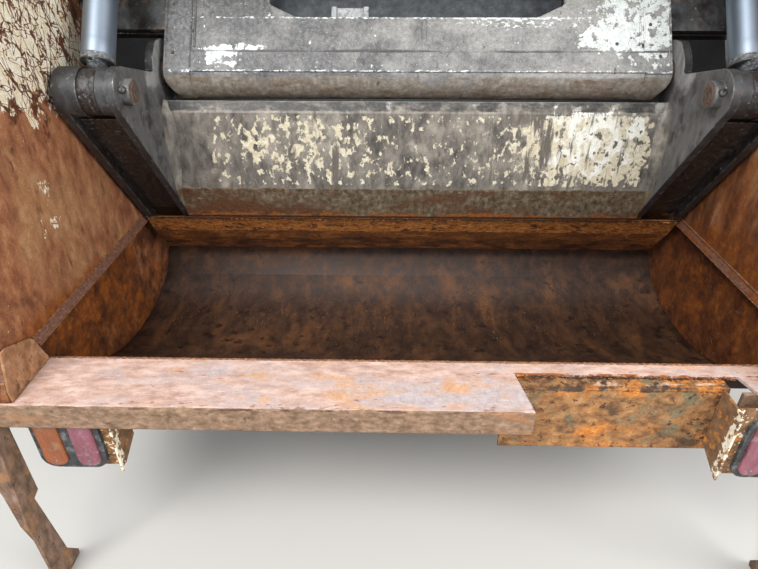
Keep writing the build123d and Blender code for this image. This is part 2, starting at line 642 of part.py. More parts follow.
def slide_panel():
    """Box panel of the carriage: rolled nose with rounded ends, edge strips, lap plate and service window."""
    proud = BOX_HALF + EDGE_STRIP_THICK
    inner = CARRIAGE_HALF - END_PLATE
    origin = (0, *track_point(0.0, proud))
    face_plane = Plane(origin=origin, x_dir=(1, 0, 0), z_dir=(0, *N_DIR))
    low = -NOSE_DROP - proud
    panel = x_extrude(box_face(BOX_HALF), -CARRIAGE_HALF, CARRIAGE_HALF)
    for x_from in (-CARRIAGE_HALF, CARRIAGE_HALF - EDGE_STRIP):
        panel += x_extrude(box_face(proud), x_from, x_from + EDGE_STRIP)
    panel += strip(LAP_LOW, LAP_HIGH, BOX_HALF - 3 * LAP_THICK, BOX_HALF + LAP_THICK,
                   EDGE_STRIP - CARRIAGE_HALF, CARRIAGE_HALF - EDGE_STRIP)
    panel &= extrude(face_plane * panel_outline(CARRIAGE_HALF, low, END_CORNER, BOX_TOP), -2 * proud)
    cavity = x_extrude(box_face(BOX_HALF - SKIN), -inner, inner)
    inside = panel_outline(inner, low + SKIN, END_CORNER - SKIN, BOX_TOP + 1)
    panel -= cavity & extrude(face_plane * inside, -2 * proud)
    panel -= disc(PIVOT, HINGE_PIN_RADIUS + RUNNING_FIT, -CARRIAGE_HALF - 1, CARRIAGE_HALF + 1)
    outline = Polyline((-WINDOW_FOOT_HALF, WINDOW_LOW), (WINDOW_FOOT_HALF, WINDOW_LOW),
                       (WINDOW_HALF, WINDOW_LOW + WINDOW_SHOULDER), (WINDOW_HALF, WINDOW_HIGH),
                       (-WINDOW_HALF, WINDOW_HIGH), (-WINDOW_HALF, WINDOW_LOW + WINDOW_SHOULDER), close=True)
    window = make_face(outline)
    window = fillet(window.vertices(), WINDOW_CORNER)
    panel -= extrude(face_plane * window, -SKIN - 15)
    length = PANEL_GROOVE_HIGH - PANEL_GROOVE_LOW
    slot = SlotOverall(length, PANEL_GROOVE_WIDTH, rotation=90)
    groove = Pos(PANEL_GROOVE_X, PANEL_GROOVE_LOW + length / 2) * slot
    return panel - extrude(face_plane * groove, -EDGE_STRIP_THICK - PANEL_GROOVE_DEPTH)


def carriage_frame():
    """Ribs with the hinge bearings, head beam, window tab, and the clevises of the sweep cylinders."""
    inside = box_face(BOX_HALF - SKIN)
    parts = []
    rib = WINDOW_HALF + RIB_CLEAR
    for x in (-rib, rib - RIB_PLATE):
        bearing = disc(PIVOT, HINGE_PIN_RADIUS + RUNNING_FIT, x - 1, x + RIB_PLATE + 1)
        parts.append(x_extrude(inside, x, x + RIB_PLATE) - bearing)
    parts.append(strip(BOX_TOP, BOX_TOP + HEAD_PLATE, -BOX_HALF, BOX_HALF, -HEAD_HALF, HEAD_HALF))
    shelf = WINDOW_LOW - SKIN
    depth = BOX_HALF - SKIN
    parts.append(strip(shelf - SKIN, shelf, -depth, depth, RIB_PLATE - rib, rib - RIB_PLATE))
    parts.append(strip(shelf, WINDOW_LOW + 26, 20.0, 28.0, -2 * WINDOW_TAB, -WINDOW_TAB))
    inner_near = EYE_CENTRE - EYE_WIDTH / 2 - CHEEK_GAP - CHEEK_THICK
    outer_near = EYE_CENTRE + EYE_WIDTH / 2 + CHEEK_GAP
    low_edge = ANCHOR_S - CHEEK_LOW
    outline = [track_point(BOX_TOP, -BOX_HALF), track_point(BOX_TOP + HEAD_PLATE, -BOX_HALF),
               track_point(BOX_TOP + HEAD_PLATE, ANCHOR_OFF + CHEEK_TOP_BACK),
               track_point(ANCHOR_S, ANCHOR_OFF + CHEEK_BACK),
               track_point(low_edge, ANCHOR_OFF + CHEEK_LOW_BACK),
               track_point(low_edge, ANCHOR_OFF - CHEEK_FRONT),
               track_point(BOX_TOP - CHEEK_FOOT, BOX_HALF), track_point(BOX_TOP, BOX_HALF)]
    for near, far in ((inner_near, inner_near + CHEEK_THICK), (outer_near, outer_near + CHEEK_THICK)):
        cheek = slab(outline, -far, -near)
        parts.append(cheek)
        parts.append(mirrored(cheek))
    pin = disc(ANCHOR, ANCHOR_PIN_RADIUS, -outer_near - CHEEK_THICK - 6, -inner_near + 6)
    parts.append(pin)
    parts.append(mirrored(pin))
    return joined(parts)


def blade_shell():
    """Body of the blade: rear face with its bend, cradle round the nose and the curved packing face."""
    cradle = BOX_HALF + NOSE_DROP + CRADLE_GAP
    start = at_angle(PIVOT, cradle, 330.0)
    middle = at_angle(PIVOT, cradle, 283.0)
    end = at_angle(PIVOT, cradle, 236.0)
    top_front = (PIVOT[0] + CRADLE_FRONT[0], PIVOT[1] + CRADLE_FRONT[1])
    edges = Polyline(end, FACE_TOP, FACE_BEND, FACE_FOOT, LIP_TOP, LIP_FRONT)
    edges += ThreePointArc(LIP_FRONT, BLADE_FRONT, top_front)
    edges += Polyline(top_front, start) + ThreePointArc(start, middle, end)
    return x_extrude(make_face(Plane.YZ * edges), -PLATE_IN, PLATE_IN)


def lug_side():
    """Point (y, z) on the lug where the straight rear edge of the arm begins."""
    spine = atan2(LIP_TOP[1] - EYE[1], LIP_TOP[0] - EYE[0])
    return at_angle(EYE, LUG_RADIUS, degrees(spine) - 93.0)


def arm_face(horned):
    """Outline of an arm plate: lug, straight rear edge down to the lip, and the horn if it has one."""
    lug_top = at_angle(EYE, LUG_RADIUS, 82.0)
    front = at_angle(PIVOT, HORN_RADIUS, -20.0)
    points = [EYE, lug_side(), LIP_TOP, LIP_FRONT, BLADE_FRONT, front]
    if not horned:
        return make_face(Plane.YZ * Polyline(*points, PIVOT, HORN_FOOT, lug_top, close=True))
    points += [at_angle(PIVOT, HORN_RADIUS, 90.0), HORN_CREST, HORN_FOOT, lug_top]
    plate = make_face(Polyline(*points, close=True))
    for corner, radius in ((HORN_FOOT, HORN_FOOT_ROUND), (HORN_CREST, HORN_CREST_ROUND)):
        nearest = plate.vertices().sort_by_distance((corner[0], corner[1], 0))[0]
        plate = fillet(nearest, radius)
    return Plane.YZ * plate


def rounded_disc(centre, radius, x_from, x_to, rounding):
    """Disc along X whose edge at x_from is rounded."""
    whole = disc(centre, radius, x_from, x_to)
    return fillet(whole.edges().sort_by(Axis.X)[0], rounding)


def arm_web():
    """Plate between the two arm plates, set in from their rear edges, and the one along the front."""
    start = lug_side()
    run = hypot(LIP_TOP[0] - start[0], LIP_TOP[1] - start[1])
    unit = ((LIP_TOP[0] - start[0]) / run, (LIP_TOP[1] - start[1]) / run)
    inward = (-unit[1], unit[0])
    x_from = -PLATE_OUT + PLATE_THICK
    x_to = -PLATE_IN - PLATE_THICK

    def along(distance, off):
        return tuple(start[i] + unit[i] * distance + inward[i] * off for i in (0, 1))

    far = WEB_DEPTH + WEB_PLATE
    rear = slab([along(WEB_FROM_EYE, WEB_DEPTH), along(2 * run, WEB_DEPTH), along(2 * run, far),
                 along(WEB_FROM_EYE, far)], x_from, x_to)
    crest = at_angle(PIVOT, HORN_RADIUS, -20.0)
    inside = [(y - WEB_PLATE, z) for y, z in (crest, BLADE_FRONT, LIP_FRONT)]
    front = slab([LIP_FRONT, BLADE_FRONT, crest] + inside, x_from, x_to)
    return (rear + front) & x_extrude(arm_face(False), -PLATE_OUT, -PLATE_IN)


def blade_arm_left():
    """Arm on the blade's left end: two plates, the webs between them, stepped lugs, pin boss and horn."""
    gap_from = EYE_CENTRE - EYE_WIDTH / 2 - EYE_SIDE_GAP
    gap_to = EYE_CENTRE + EYE_WIDTH / 2 + EYE_SIDE_GAP
    outer = x_extrude(arm_face(False), -PLATE_OUT, -PLATE_OUT + PLATE_THICK)
    outer += rounded_disc(EYE, LUG_RADIUS, -PLATE_OUT, -gap_to, LUG_ROUND)
    inner = x_extrude(arm_face(True), -PLATE_IN - PLATE_THICK, -PLATE_IN)
    inner += disc(EYE, LUG_RADIUS, -PLATE_IN - PLATE_THICK, -PLATE_IN)
    inner += rounded_disc(EYE, LUG_RADIUS - LUG_STEP, -gap_from, -PLATE_IN, LUG_STEP)
    inner += disc(PIVOT, HORN_RADIUS, -PLATE_IN - PLATE_THICK, -PLATE_IN)
    boss = disc(EYE, PIN_BOSS_RADIUS, -PLATE_IN, -PLATE_IN + PIN_BOSS_LENGTH)
    boss = chamfer(boss.edges().sort_by(Axis.X)[-1], PIN_PROUD)
    pin_hole = disc(EYE, PIN_RADIUS, -gap_from, -PLATE_IN + PIN_BOSS_LENGTH + 1)
    bearing = disc(PIVOT, HINGE_PIN_RADIUS, -PLATE_OUT - 1, -PLATE_IN + 1)
    return outer + inner + boss - pin_hole + arm_web() - bearing


def wear_lip():
    """Full width wear lip along the blade's edge, with its two facets."""
    run = hypot(LIP_TIP[0] - LIP_TOP[0], LIP_TIP[1] - LIP_TOP[1])
    unit = ((LIP_TIP[0] - LIP_TOP[0]) / run, (LIP_TIP[1] - LIP_TOP[1]) / run)
    inward = (-unit[1], unit[0])
    crease = (LIP_TOP[0] + unit[0] * LIP_FACET - inward[0] * LIP_BULGE,
              LIP_TOP[1] + unit[1] * LIP_FACET - inward[1] * LIP_BULGE)
    heel = (LIP_TIP[0] + inward[0] * LIP_THICK, LIP_TIP[1] + inward[1] * LIP_THICK)
    return slab([LIP_TOP, crease, LIP_TIP, heel, LIP_FRONT], -PLATE_OUT, PLATE_OUT)


def hinge_pin():
    """Through pin of the blade hinge."""
    reach = PLATE_IN + PLATE_THICK + 8
    return disc(PIVOT, HINGE_PIN_RADIUS, -reach, reach)


def lug_pin_left():
    """Stub of the rod eye's pin in the inner lug, its end just proud of the boss, with a centre hole."""
    gap_from = EYE_CENTRE - EYE_WIDTH / 2 - EYE_SIDE_GAP
    end = -PLATE_IN + PIN_BOSS_LENGTH + PIN_PROUD
    stub = disc(EYE, PIN_RADIUS, -gap_from, end)
    stub = chamfer(stub.edges().sort_by(Axis.X)[-1], PIN_PROUD * 0.8)
    return stub - disc(EYE, PIN_CENTRE_HOLE, end - 3 * PIN_CENTRE_HOLE, end + 1)


def sweep_barrel_left():
    """Sweep cylinder barrel with base cap, gland, ports and the eye on the carriage's anchor pin."""
    x = -EYE_CENTRE
    low = cylinder_point(BARREL_LENGTH)
    top = cylinder_point(BARREL_HEAD)
    gland_top = cylinder_point(BARREL_LENGTH - GLAND)
    cap_low = cylinder_point(BARREL_HEAD + 28)
    bore_top = cylinder_point(BARREL_HEAD + 20)
    tube = round_bar(low, top, BARREL_RADIUS, x) + round_bar(low, gland_top, GLAND_RADIUS, x)
    tube += round_bar(cap_low, top, BARREL_RADIUS + 5, x)
    half = EYE_WIDTH / 2
    eye = disc(ANCHOR, BARREL_EYE_RADIUS, x - half, x + half)
    eye += round_bar(top, ANCHOR, half - NECK_INSET, x)
    eye -= disc(ANCHOR, ANCHOR_PIN_RADIUS + RUNNING_FIT, x - half - 1, x + half + 1)
    for distance in (BARREL_HEAD + 60, BARREL_LENGTH - GLAND - 35):
        centre = cylinder_point(distance)
        rise = BARREL_RADIUS + PORT_RISE
        far = (centre[0] + rise * N_DIR[0], centre[1] + rise * N_DIR[1])
        tube += round_bar(centre, far, PORT_RADIUS, x)
    tube -= round_bar(gland_top, bore_top, BARREL_RADIUS - BARREL_WALL, x)
    tube -= round_bar(cylinder_point(BARREL_LENGTH + 1), bore_top, ROD_RADIUS + RUNNING_FIT, x)
    return tube + eye


def sweep_rod_left():
    """Sweep cylinder rod with its piston and the eye between the blade's lugs."""
    x = -EYE_CENTRE
    start = cylinder_point(SWEEP_LENGTH - ROD_NECK)
    half = EYE_WIDTH / 2
    rod = round_bar(start, cylinder_point(ROD_INSIDE), ROD_RADIUS, x)
    rod = chamfer(rod.edges().sort_by(Axis.Z)[0], ROD_SHOULDER)
    neck = round_bar(EYE, start, half - NECK_INSET, x)
    return rod + neck + disc(EYE, ROD_EYE_RADIUS, x - half, x + half)


def lamp_parts_left():
    """Lamp bracket, gasket, amber lens and red lens of the left side."""
    amber_x = -LAMP_RED_X - LENS_PITCH
    mid_x = -LAMP_RED_X - LENS_PITCH / 2
    mid_z = LAMP_TOP - LAMP_HEIGHT / 2
    plane = Plane(origin=(mid_x, LAMP_Y, mid_z), x_dir=(1, 0, 0), z_dir=(0, -1, 0))
    oval = RectangleRounded(LENS_WIDTH, LAMP_HEIGHT, LENS_WIDTH * 0.4)
    width = LENS_PITCH + LENS_WIDTH + 2 * GASKET_RIM
    height = LAMP_HEIGHT + 2 * GASKET_RIM
    gasket = extrude(plane * RectangleRounded(width, height, width * 0.22), GASKET_DEPTH)
    lenses = []
    for x in (amber_x, -LAMP_RED_X):
        place = plane * Pos(x - mid_x, 0, 0)
        lens = extrude(place * oval, LENS_DEPTH)
        lens = fillet(lens.faces().sort_by(Axis.Y)[0].edges(), LENS_ROUND)
        lenses.append(lens)
        gasket -= extrude(place * oval, GASKET_DEPTH + 1)
    low = mid_z - height / 2
    face = LAMP_Y + BRACKET_PLATE
    back = slab([(LAMP_Y, -SILL_PLATE), (face, -SILL_PLATE), (face, low), (LAMP_Y, low)],
                -BRACKET_OUTER, -BRACKET_INNER)
    rear = -SILL_DEPTH + SILL_PLATE
    front = rear + CHEEK_LENGTH
    outline = [(rear, -SILL_PLATE), (front, -SILL_PLATE), (front, low + CHEEK_RISE), (rear, low)]
    cheek = slab(outline, -BRACKET_INNER, -BRACKET_INNER + BRACKET_PLATE)
    return back + cheek, gasket, lenses[0], lenses[1]


def step_hanger_left():
    """Leg of the rear step at the left: notched web with a hooked foot and a tapered rear flange."""
    top = -SILL_FLANGE
    heel, calf, ankle, notch, shin, hook = [
        (y - SILL_DEPTH, z)
        for y, z in (HANGER_HEEL, HANGER_CALF, HANGER_ANKLE, HANGER_NOTCH, HANGER_SHIN, HANGER_HOOK)]
    face = -SILL_DEPTH + HANGER_FRONT
    rear = [(heel[0], top), heel, calf, ankle, (ankle[0] + 3, -HANGER_DROP)]
    front = [(face, top - 4), (face, notch[1] + 9), notch, shin,
             (shin[0] + 8, shin[1] - 77), hook, (hook[0] - 4, -HANGER_DROP)]
    web = slab([(-REAR_Y, top)] + front + rear[::-1], -HANGER_X - HANGER_PLATE, -HANGER_X)
    outer = rear[:4]
    inside = [(y + HANGER_PLATE, z) for y, z in reversed(outer)]
    flange = slab(outer + inside, -HANGER_X - HANGER_FLANGE, -HANGER_X)
    wide = -HANGER_X - HANGER_FLANGE
    taper = Polyline((-HANGER_X, top), (wide, top), (wide, heel[1] - 33),
                     (-HANGER_X - HANGER_FLANGE * 0.6, notch[1] + HANGER_FLANGE),
                     (-HANGER_X - HANGER_PLATE, ankle[1] + 4), (-HANGER_X, ankle[1]), close=True)
    plane = Plane(origin=(0, -SILL_DEPTH, 0), x_dir=(1, 0, 0), z_dir=(0, -1, 0))
    return web + (flange & extrude(plane * make_face(taper), HANGER_DROP, both=True))


def build():
    """All nodes by name, drawn from the sill's inner edge."""
    bracket, gasket, amber, red = lamp_parts_left()
    pairs = {
        "side_wall": side_wall_left(),
        "track": track_left(),
        "wall_ribs": wall_ribs_left(),
        "slide_barrel": slide_barrel_left(),
        "slide_rod": slide_rod_left(),
        "guide_shoes": guide_shoes_left(),
        "blade_arm": blade_arm_left(),
        "lug_pin": lug_pin_left(),
        "sweep_barrel": sweep_barrel_left(),
        "sweep_rod": sweep_rod_left(),
        "step_hanger": step_hanger_left(),
        "lamp_bracket": bracket,
        "lamp_gasket": gasket,
        "amber_lens": amber,
        "red_lens": red,
    }
    nodes = {
        "hopper_floor": hopper_floor(),
        "floor_ribs": floor_ribs(),
        "sill_plate": sill_plate(),
        "rear_panel": rear_panel(),
        "roof": roof(),
        "hood": hood(),
        "front_header": front_header(),
        "hinge_ears": hinge_ears(),
        "latch_lugs": latch_lugs(),
        "slide_panel": slide_panel(),
        "carriage_frame": carriage_frame(),
        "blade_shell": blade_shell(),
        "wear_lip": wear_lip(),
        "hinge_pin": hinge_pin(),
    }
    for name, shape in pairs.items():
        nodes[name + "_left"] = shape
        nodes[name + "_right"] = mirrored(shape)
    return nodes


os.makedirs("parts", exist_ok=True)
for node_name, node_shape in build().items():
    export_step(Pos(0, -HINGE_Y, -HINGE_Z) * node_shape, "parts/" + node_name + ".step")
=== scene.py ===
import logging
import math
import random
from dataclasses import dataclass, field, replace
from enum import Enum
from typing import Callable, Sequence

import bmesh
import bpy
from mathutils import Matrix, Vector, noise


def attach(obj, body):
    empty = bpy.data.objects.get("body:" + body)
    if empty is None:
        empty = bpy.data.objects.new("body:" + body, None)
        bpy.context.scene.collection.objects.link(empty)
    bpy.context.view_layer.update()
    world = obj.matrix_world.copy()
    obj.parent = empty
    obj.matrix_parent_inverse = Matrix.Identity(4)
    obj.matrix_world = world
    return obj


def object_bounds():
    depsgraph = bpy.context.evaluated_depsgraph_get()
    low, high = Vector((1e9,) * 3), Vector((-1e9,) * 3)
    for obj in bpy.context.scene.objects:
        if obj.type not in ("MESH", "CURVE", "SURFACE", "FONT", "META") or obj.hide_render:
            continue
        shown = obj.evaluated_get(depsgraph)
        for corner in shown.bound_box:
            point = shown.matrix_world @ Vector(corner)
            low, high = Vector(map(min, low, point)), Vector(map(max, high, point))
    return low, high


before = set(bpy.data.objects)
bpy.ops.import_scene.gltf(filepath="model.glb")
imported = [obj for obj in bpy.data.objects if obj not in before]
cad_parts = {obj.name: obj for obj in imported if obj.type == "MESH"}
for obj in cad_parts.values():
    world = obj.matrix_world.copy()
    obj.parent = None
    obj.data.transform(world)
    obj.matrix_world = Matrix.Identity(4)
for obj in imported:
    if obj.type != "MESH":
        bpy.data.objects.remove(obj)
CAD_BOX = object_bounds()
LOG = logging.getLogger("tailgate")

Point = tuple[float, float, float]
Tree = bpy.types.NodeTree
Socket = bpy.types.NodeSocket

# The side outlines are drawn in millimetres from the sill's inner edge, as in the part's source.
HINGE_Y = 1620.0
HINGE_Z = 2150.0
LEAN = math.radians(36.0)
ALONG = (math.sin(LEAN), math.cos(LEAN))
OFF = (-ALONG[1], ALONG[0])
PIVOT = (742.0, 610.0)
EYE = (412.0, 618.0)

RIGHT, FORWARD, UP = Vector((1.0, 0.0, 0.0)), Vector((0.0, 1.0, 0.0)), Vector((0.0, 0.0, 1.0))
LEFT, BACK, DOWN = -RIGHT, -FORWARD, -UP
SLIDE_WAY, OUTWARD = Vector((0.0, *ALONG)), Vector((0.0, *OFF))
SIDES: tuple[tuple[str, float], ...] = (("left", -1.0), ("right", 1.0))


def row(x: float, y: float, z: float) -> Vector:
    """Turns millimetres from the sill's inner edge into the row frame's metres."""
    return Vector((x / 1000.0, (y - HINGE_Y) / 1000.0, (z - HINGE_Z) / 1000.0))


def track(x: float, along: float, off: float) -> Vector:
    """Row frame point at a distance along the slide direction from the blade's pivot and off it to the rear."""
    return row(x, PIVOT[0] + along * ALONG[0] + off * OFF[0], PIVOT[1] + along * ALONG[1] + off * OFF[1])


def circle(sides: int) -> list[float]:
    """Angles of a regular outline's corners."""
    return [2 * math.pi * corner / sides for corner in range(sides)]


def linear(colour: str) -> tuple[float, float, float, float]:
    """Turns an sRGB hex colour into linear light."""
    parts = [int(colour[i:i + 2], 16) / 255.0 for i in (1, 3, 5)]
    return tuple(c / 12.92 if c <= 0.04045 else ((c + 0.055) / 1.055) ** 2.4 for c in parts) + (1.0,)


# ---- Finishes ----

# Sizes of patterns are in millimetres. Grit, turning marks and the finest scratches are finer than a
# pixel from the photo's distance, so they are drawn as coarse as they need to show: pits from 1.5 mm
# and scratches from 1 mm wide.
NOISE_LOW, NOISE_HIGH = 0.3, 0.7
SHADES_START, SHADES_SPAN = 0.34, 0.32
ROUGH_SWING = 0.07
STROKE_SOFT = 0.04
TINT_SHIFT: Point = (1.3, 2.9, 0.7)
COVER_SHIFT: Point = (3.1, 1.7, 2.3)
LINE_STEP, CUT_STEP = 0.37, 0.71


class Kind(str, Enum):
    """Blender's names of the shader nodes that the finishes are made of."""

    OUTPUT = "ShaderNodeOutputMaterial"
    SHADER = "ShaderNodeBsdfPrincipled"
    COORDS = "ShaderNodeTexCoord"
    PLACE = "ShaderNodeMapping"
    NOISE = "ShaderNodeTexNoise"
    MATHS = "ShaderNodeMath"
    VECTOR = "ShaderNodeVectorMath"
    RANGE = "ShaderNodeMapRange"
    RAMP = "ShaderNodeValToRGB"
    MIX = "ShaderNodeMix"
    BUMP = "ShaderNodeBump"
    ROUND = "ShaderNodeBevel"
    SHAPE = "ShaderNodeNewGeometry"
    CREVICE = "ShaderNodeAmbientOcclusion"


def add_node(tree: Tree, kind: Kind, values: dict | None = None, output: int | str = 0) -> Socket | None:
    """Adds one shader node with its settings and links.

    Args:
        tree: The material's node tree.
        kind: Which node.
        values: Settings by property name, or by input name or number. A socket is linked to its
            input, and "stops" are a ramp's (place, hex) pairs.
        output: Name or number of the output that is wanted.

    Returns:
        That output, or None from a node without any.
    """
    made = tree.nodes.new(kind.value)
    for key, value in (values or {}).items():
        if isinstance(value, Socket):
            tree.links.new(value, made.inputs[key])
        elif key == "stops":
            ramp = made.color_ramp
            while len(ramp.elements) < len(value):
                ramp.elements.new(0.5)
            for stop, (place, colour) in zip(ramp.elements, value):
                stop.position, stop.color = place, linear(colour)
        elif isinstance(key, str) and hasattr(made, key):
            setattr(made, key, value)
        else:
            made.inputs[key].default_value = value
    return made.outputs[output] if made.outputs else None


@dataclass(frozen=True)
class Patch:
    """A soft place, in the row frame's metres, that gets more of a layer, or less where amount is negative."""

    centre: Point | Vector
    reach: Point
    amount: float
    whole: float = 0.35

    def build(self, tree: Tree, place: Socket) -> Socket:
        """Gives the amount at each point: all of it within the whole share of the reach."""
        away = add_node(tree, Kind.VECTOR, {"operation": "SUBTRACT", 0: place, 1: self.centre})
        away = add_node(tree, Kind.VECTOR, {"operation": "DIVIDE", 0: away, 1: self.reach})
        away = add_node(tree, Kind.VECTOR, {"operation": "LENGTH", 0: away}, 1)
        return add_node(tree, Kind.RANGE, {"interpolation_type": "SMOOTHSTEP", "Value": away, "From Min": 1.0,
                                           "From Max": self.whole, "To Max": self.amount})


@dataclass(frozen=True)
class Slope:
    """A change across a plane: nothing before start, the whole amount past end, both in metres along direction."""

    direction: Vector
    start: float
    end: float
    amount: float

    def build(self, tree: Tree, place: Socket) -> Socket:
        """Gives the amount at each point."""
        far = add_node(tree, Kind.VECTOR, {"operation": "DOT_PRODUCT", 0: place, 1: self.direction}, 1)
        return add_node(tree, Kind.RANGE, {"interpolation_type": "SMOOTHSTEP", "Value": far, "From Min": self.start,
                                           "From Max": self.end, "To Max": self.amount})


def both_sides(start: float, end: float, amount: float) -> tuple[Slope, Slope]:
    """The same change towards each side."""
    return Slope(LEFT, start, end, amount), Slope(RIGHT, start, end, amount)


def down_slide(start: float, end: float, amount: float) -> Slope:
    """A change down the slide direction, between two places in millimetres from the blade's pivot."""
    first, last = (-track(0, along, 0).dot(SLIDE_WAY) for along in (start, end))
    return Slope(-SLIDE_WAY, first, last, amount)


@dataclass(frozen=True)
class Strokes:
    """Fine lines such as scratches: noise drawn out along one direction, cut at a level.

    turn tilts the Z axis, in degrees, to the direction in which the lines run. net draws thin
    curved lines that run on and cross, at the noise's middle, and level is then half their width.
    """

    turn: Point
    length_mm: float
    width_mm: float
    level: float = 0.62
    net: bool = False

    def build(self, tree: Tree, place: Socket, seed: float) -> Socket:
        """Gives 1 on the lines and 0 between them."""
        width = self.width_mm / 1000.0
        turned = add_node(tree, Kind.PLACE, {"vector_type": "TEXTURE", "Vector": place,
                                             "Rotation": tuple(math.radians(t) for t in self.turn),
                                             "Scale": (width, width, self.length_mm / 1000.0)})
        drawn = add_node(tree, Kind.NOISE, {"noise_dimensions": "4D", "Vector": turned, "W": seed, "Scale": 1.0,
                                            "Detail": 2.0, "Distortion": 0.2})
        fades_at = self.level + STROKE_SOFT
        if self.net:
            drawn = add_node(tree, Kind.MATHS, {"operation": "SUBTRACT", 0: drawn, 1: 0.5})
            drawn = add_node(tree, Kind.MATHS, {"operation": "ABSOLUTE", 0: drawn})
            fades_at = self.level * 0.5
        return add_node(tree, Kind.RANGE, {"Value": drawn, "From Min": self.level, "From Max": fades_at})


@dataclass(frozen=True)
class Layer:
    """One coat, stain or wear pattern over what is below it.

    shades go from its dark places to its light ones, in blots of mottle_mm. blot_mm is the size of
    the places that it covers. level is where their noise starts to show, so a lower one covers more,
    and soft is how far it fades. drawn and streak stretch the two patterns along X, Y and Z. where
    adds to the noise or takes from it. lines keep the layer to fine strokes, and cut_by takes
    strokes out of it. corners and edges say how much it gathers in crevices and on bare edges.
    """

    shades: str
    mottle_mm: float
    rough: float
    blot_mm: float = 0.0
    level: float = 0.5
    soft: float = 0.03
    metal: float = 0.0
    drawn: Point = (1.0, 1.0, 1.0)
    streak: Point = (1.0, 1.0, 1.0)
    where: tuple[Patch | Slope, ...] = ()
    lines: tuple[Strokes, ...] = ()
    cut_by: tuple[Strokes, ...] = ()
    corners: float = 0.0
    edges: float = 0.0
    lift_mm: float = 0.0
    detail: float = 6.0

    def spots(self, tree: Tree, place: Socket, size_mm: float, drawn: Point, seed: int, shift: Point) -> Socket:
        """Gives coordinates that are shifted by seed, and scaled so that the noise has blots of a size."""
        scale = tuple(1.0 / (size_mm / 1000.0 * d) for d in drawn)
        shifted = tuple(seed * s for s in shift)
        return add_node(tree, Kind.PLACE, {"Vector": place, "Location": shifted, "Scale": scale})

    def tint(self, tree: Tree, place: Socket, seed: int) -> tuple[Socket, Socket]:
        """Gives the layer's mottled colour and roughness."""
        spot = self.spots(tree, place, self.mottle_mm, self.streak, seed, TINT_SHIFT)
        mottle = add_node(tree, Kind.NOISE, {"Vector": spot, "Scale": 1.0, "Detail": 7.0, "Roughness": 0.68})
        shades = self.shades.split()
        last = max(1, len(shades) - 1)
        stops = [(SHADES_START + SHADES_SPAN * i / last, shade) for i, shade in enumerate(shades)]
        rough = add_node(tree, Kind.RANGE, {"Value": mottle, "From Min": NOISE_LOW, "From Max": NOISE_HIGH,
                                            "To Min": self.rough - ROUGH_SWING, "To Max": self.rough + ROUGH_SWING})
        return add_node(tree, Kind.RAMP, {"stops": stops, 0: mottle}), rough

    def cover(self, tree: Tree, place: Socket, seed: int, marks: Sequence[Socket | None]) -> Socket:
        """Builds the layer's cover, from 0 to 1.

        Args:
            tree: The material's node tree.
            place: The object's own coordinates.
            seed: Number that shifts this layer's noise.
            marks: How near a bare edge and how deep in a crevice the point is, if any layer asks.

        Returns:
            The cover's socket.
        """
        spot = self.spots(tree, place, self.blot_mm, self.drawn, seed, COVER_SHIFT)
        value = add_node(tree, Kind.NOISE, {"Vector": spot, "Scale": 1.0, "Detail": self.detail, "Roughness": 0.62})
        for change in self.where:
            value = add_node(tree, Kind.MATHS, {"operation": "ADD", 0: value, 1: change.build(tree, place)})
        for amount, mark in zip((self.edges, self.corners), marks):
            if amount:
                value = add_node(tree, Kind.MATHS, {"operation": "MULTIPLY_ADD", 0: mark, 1: amount, 2: value})
        shown = add_node(tree, Kind.RANGE, {"interpolation_type": "SMOOTHSTEP", "Value": value,
                                            "From Min": self.level - self.soft, "From Max": self.level + self.soft})
        factors = []
        for index, strokes in enumerate(self.lines):
            line = strokes.build(tree, place, seed + LINE_STEP * index)
            if factors:
                line = add_node(tree, Kind.MATHS, {"operation": "MAXIMUM", 0: factors[0], 1: line})
            factors = [line]
        for index, strokes in enumerate(self.cut_by):
            line = strokes.build(tree, place, seed + CUT_STEP * index)
            factors.append(add_node(tree, Kind.MATHS, {"operation": "SUBTRACT", 0: 1.0, 1: line}))
        for factor in factors:
            shown = add_node(tree, Kind.MATHS, {"operation": "MULTIPLY", 0: shown, 1: factor})
        return shown


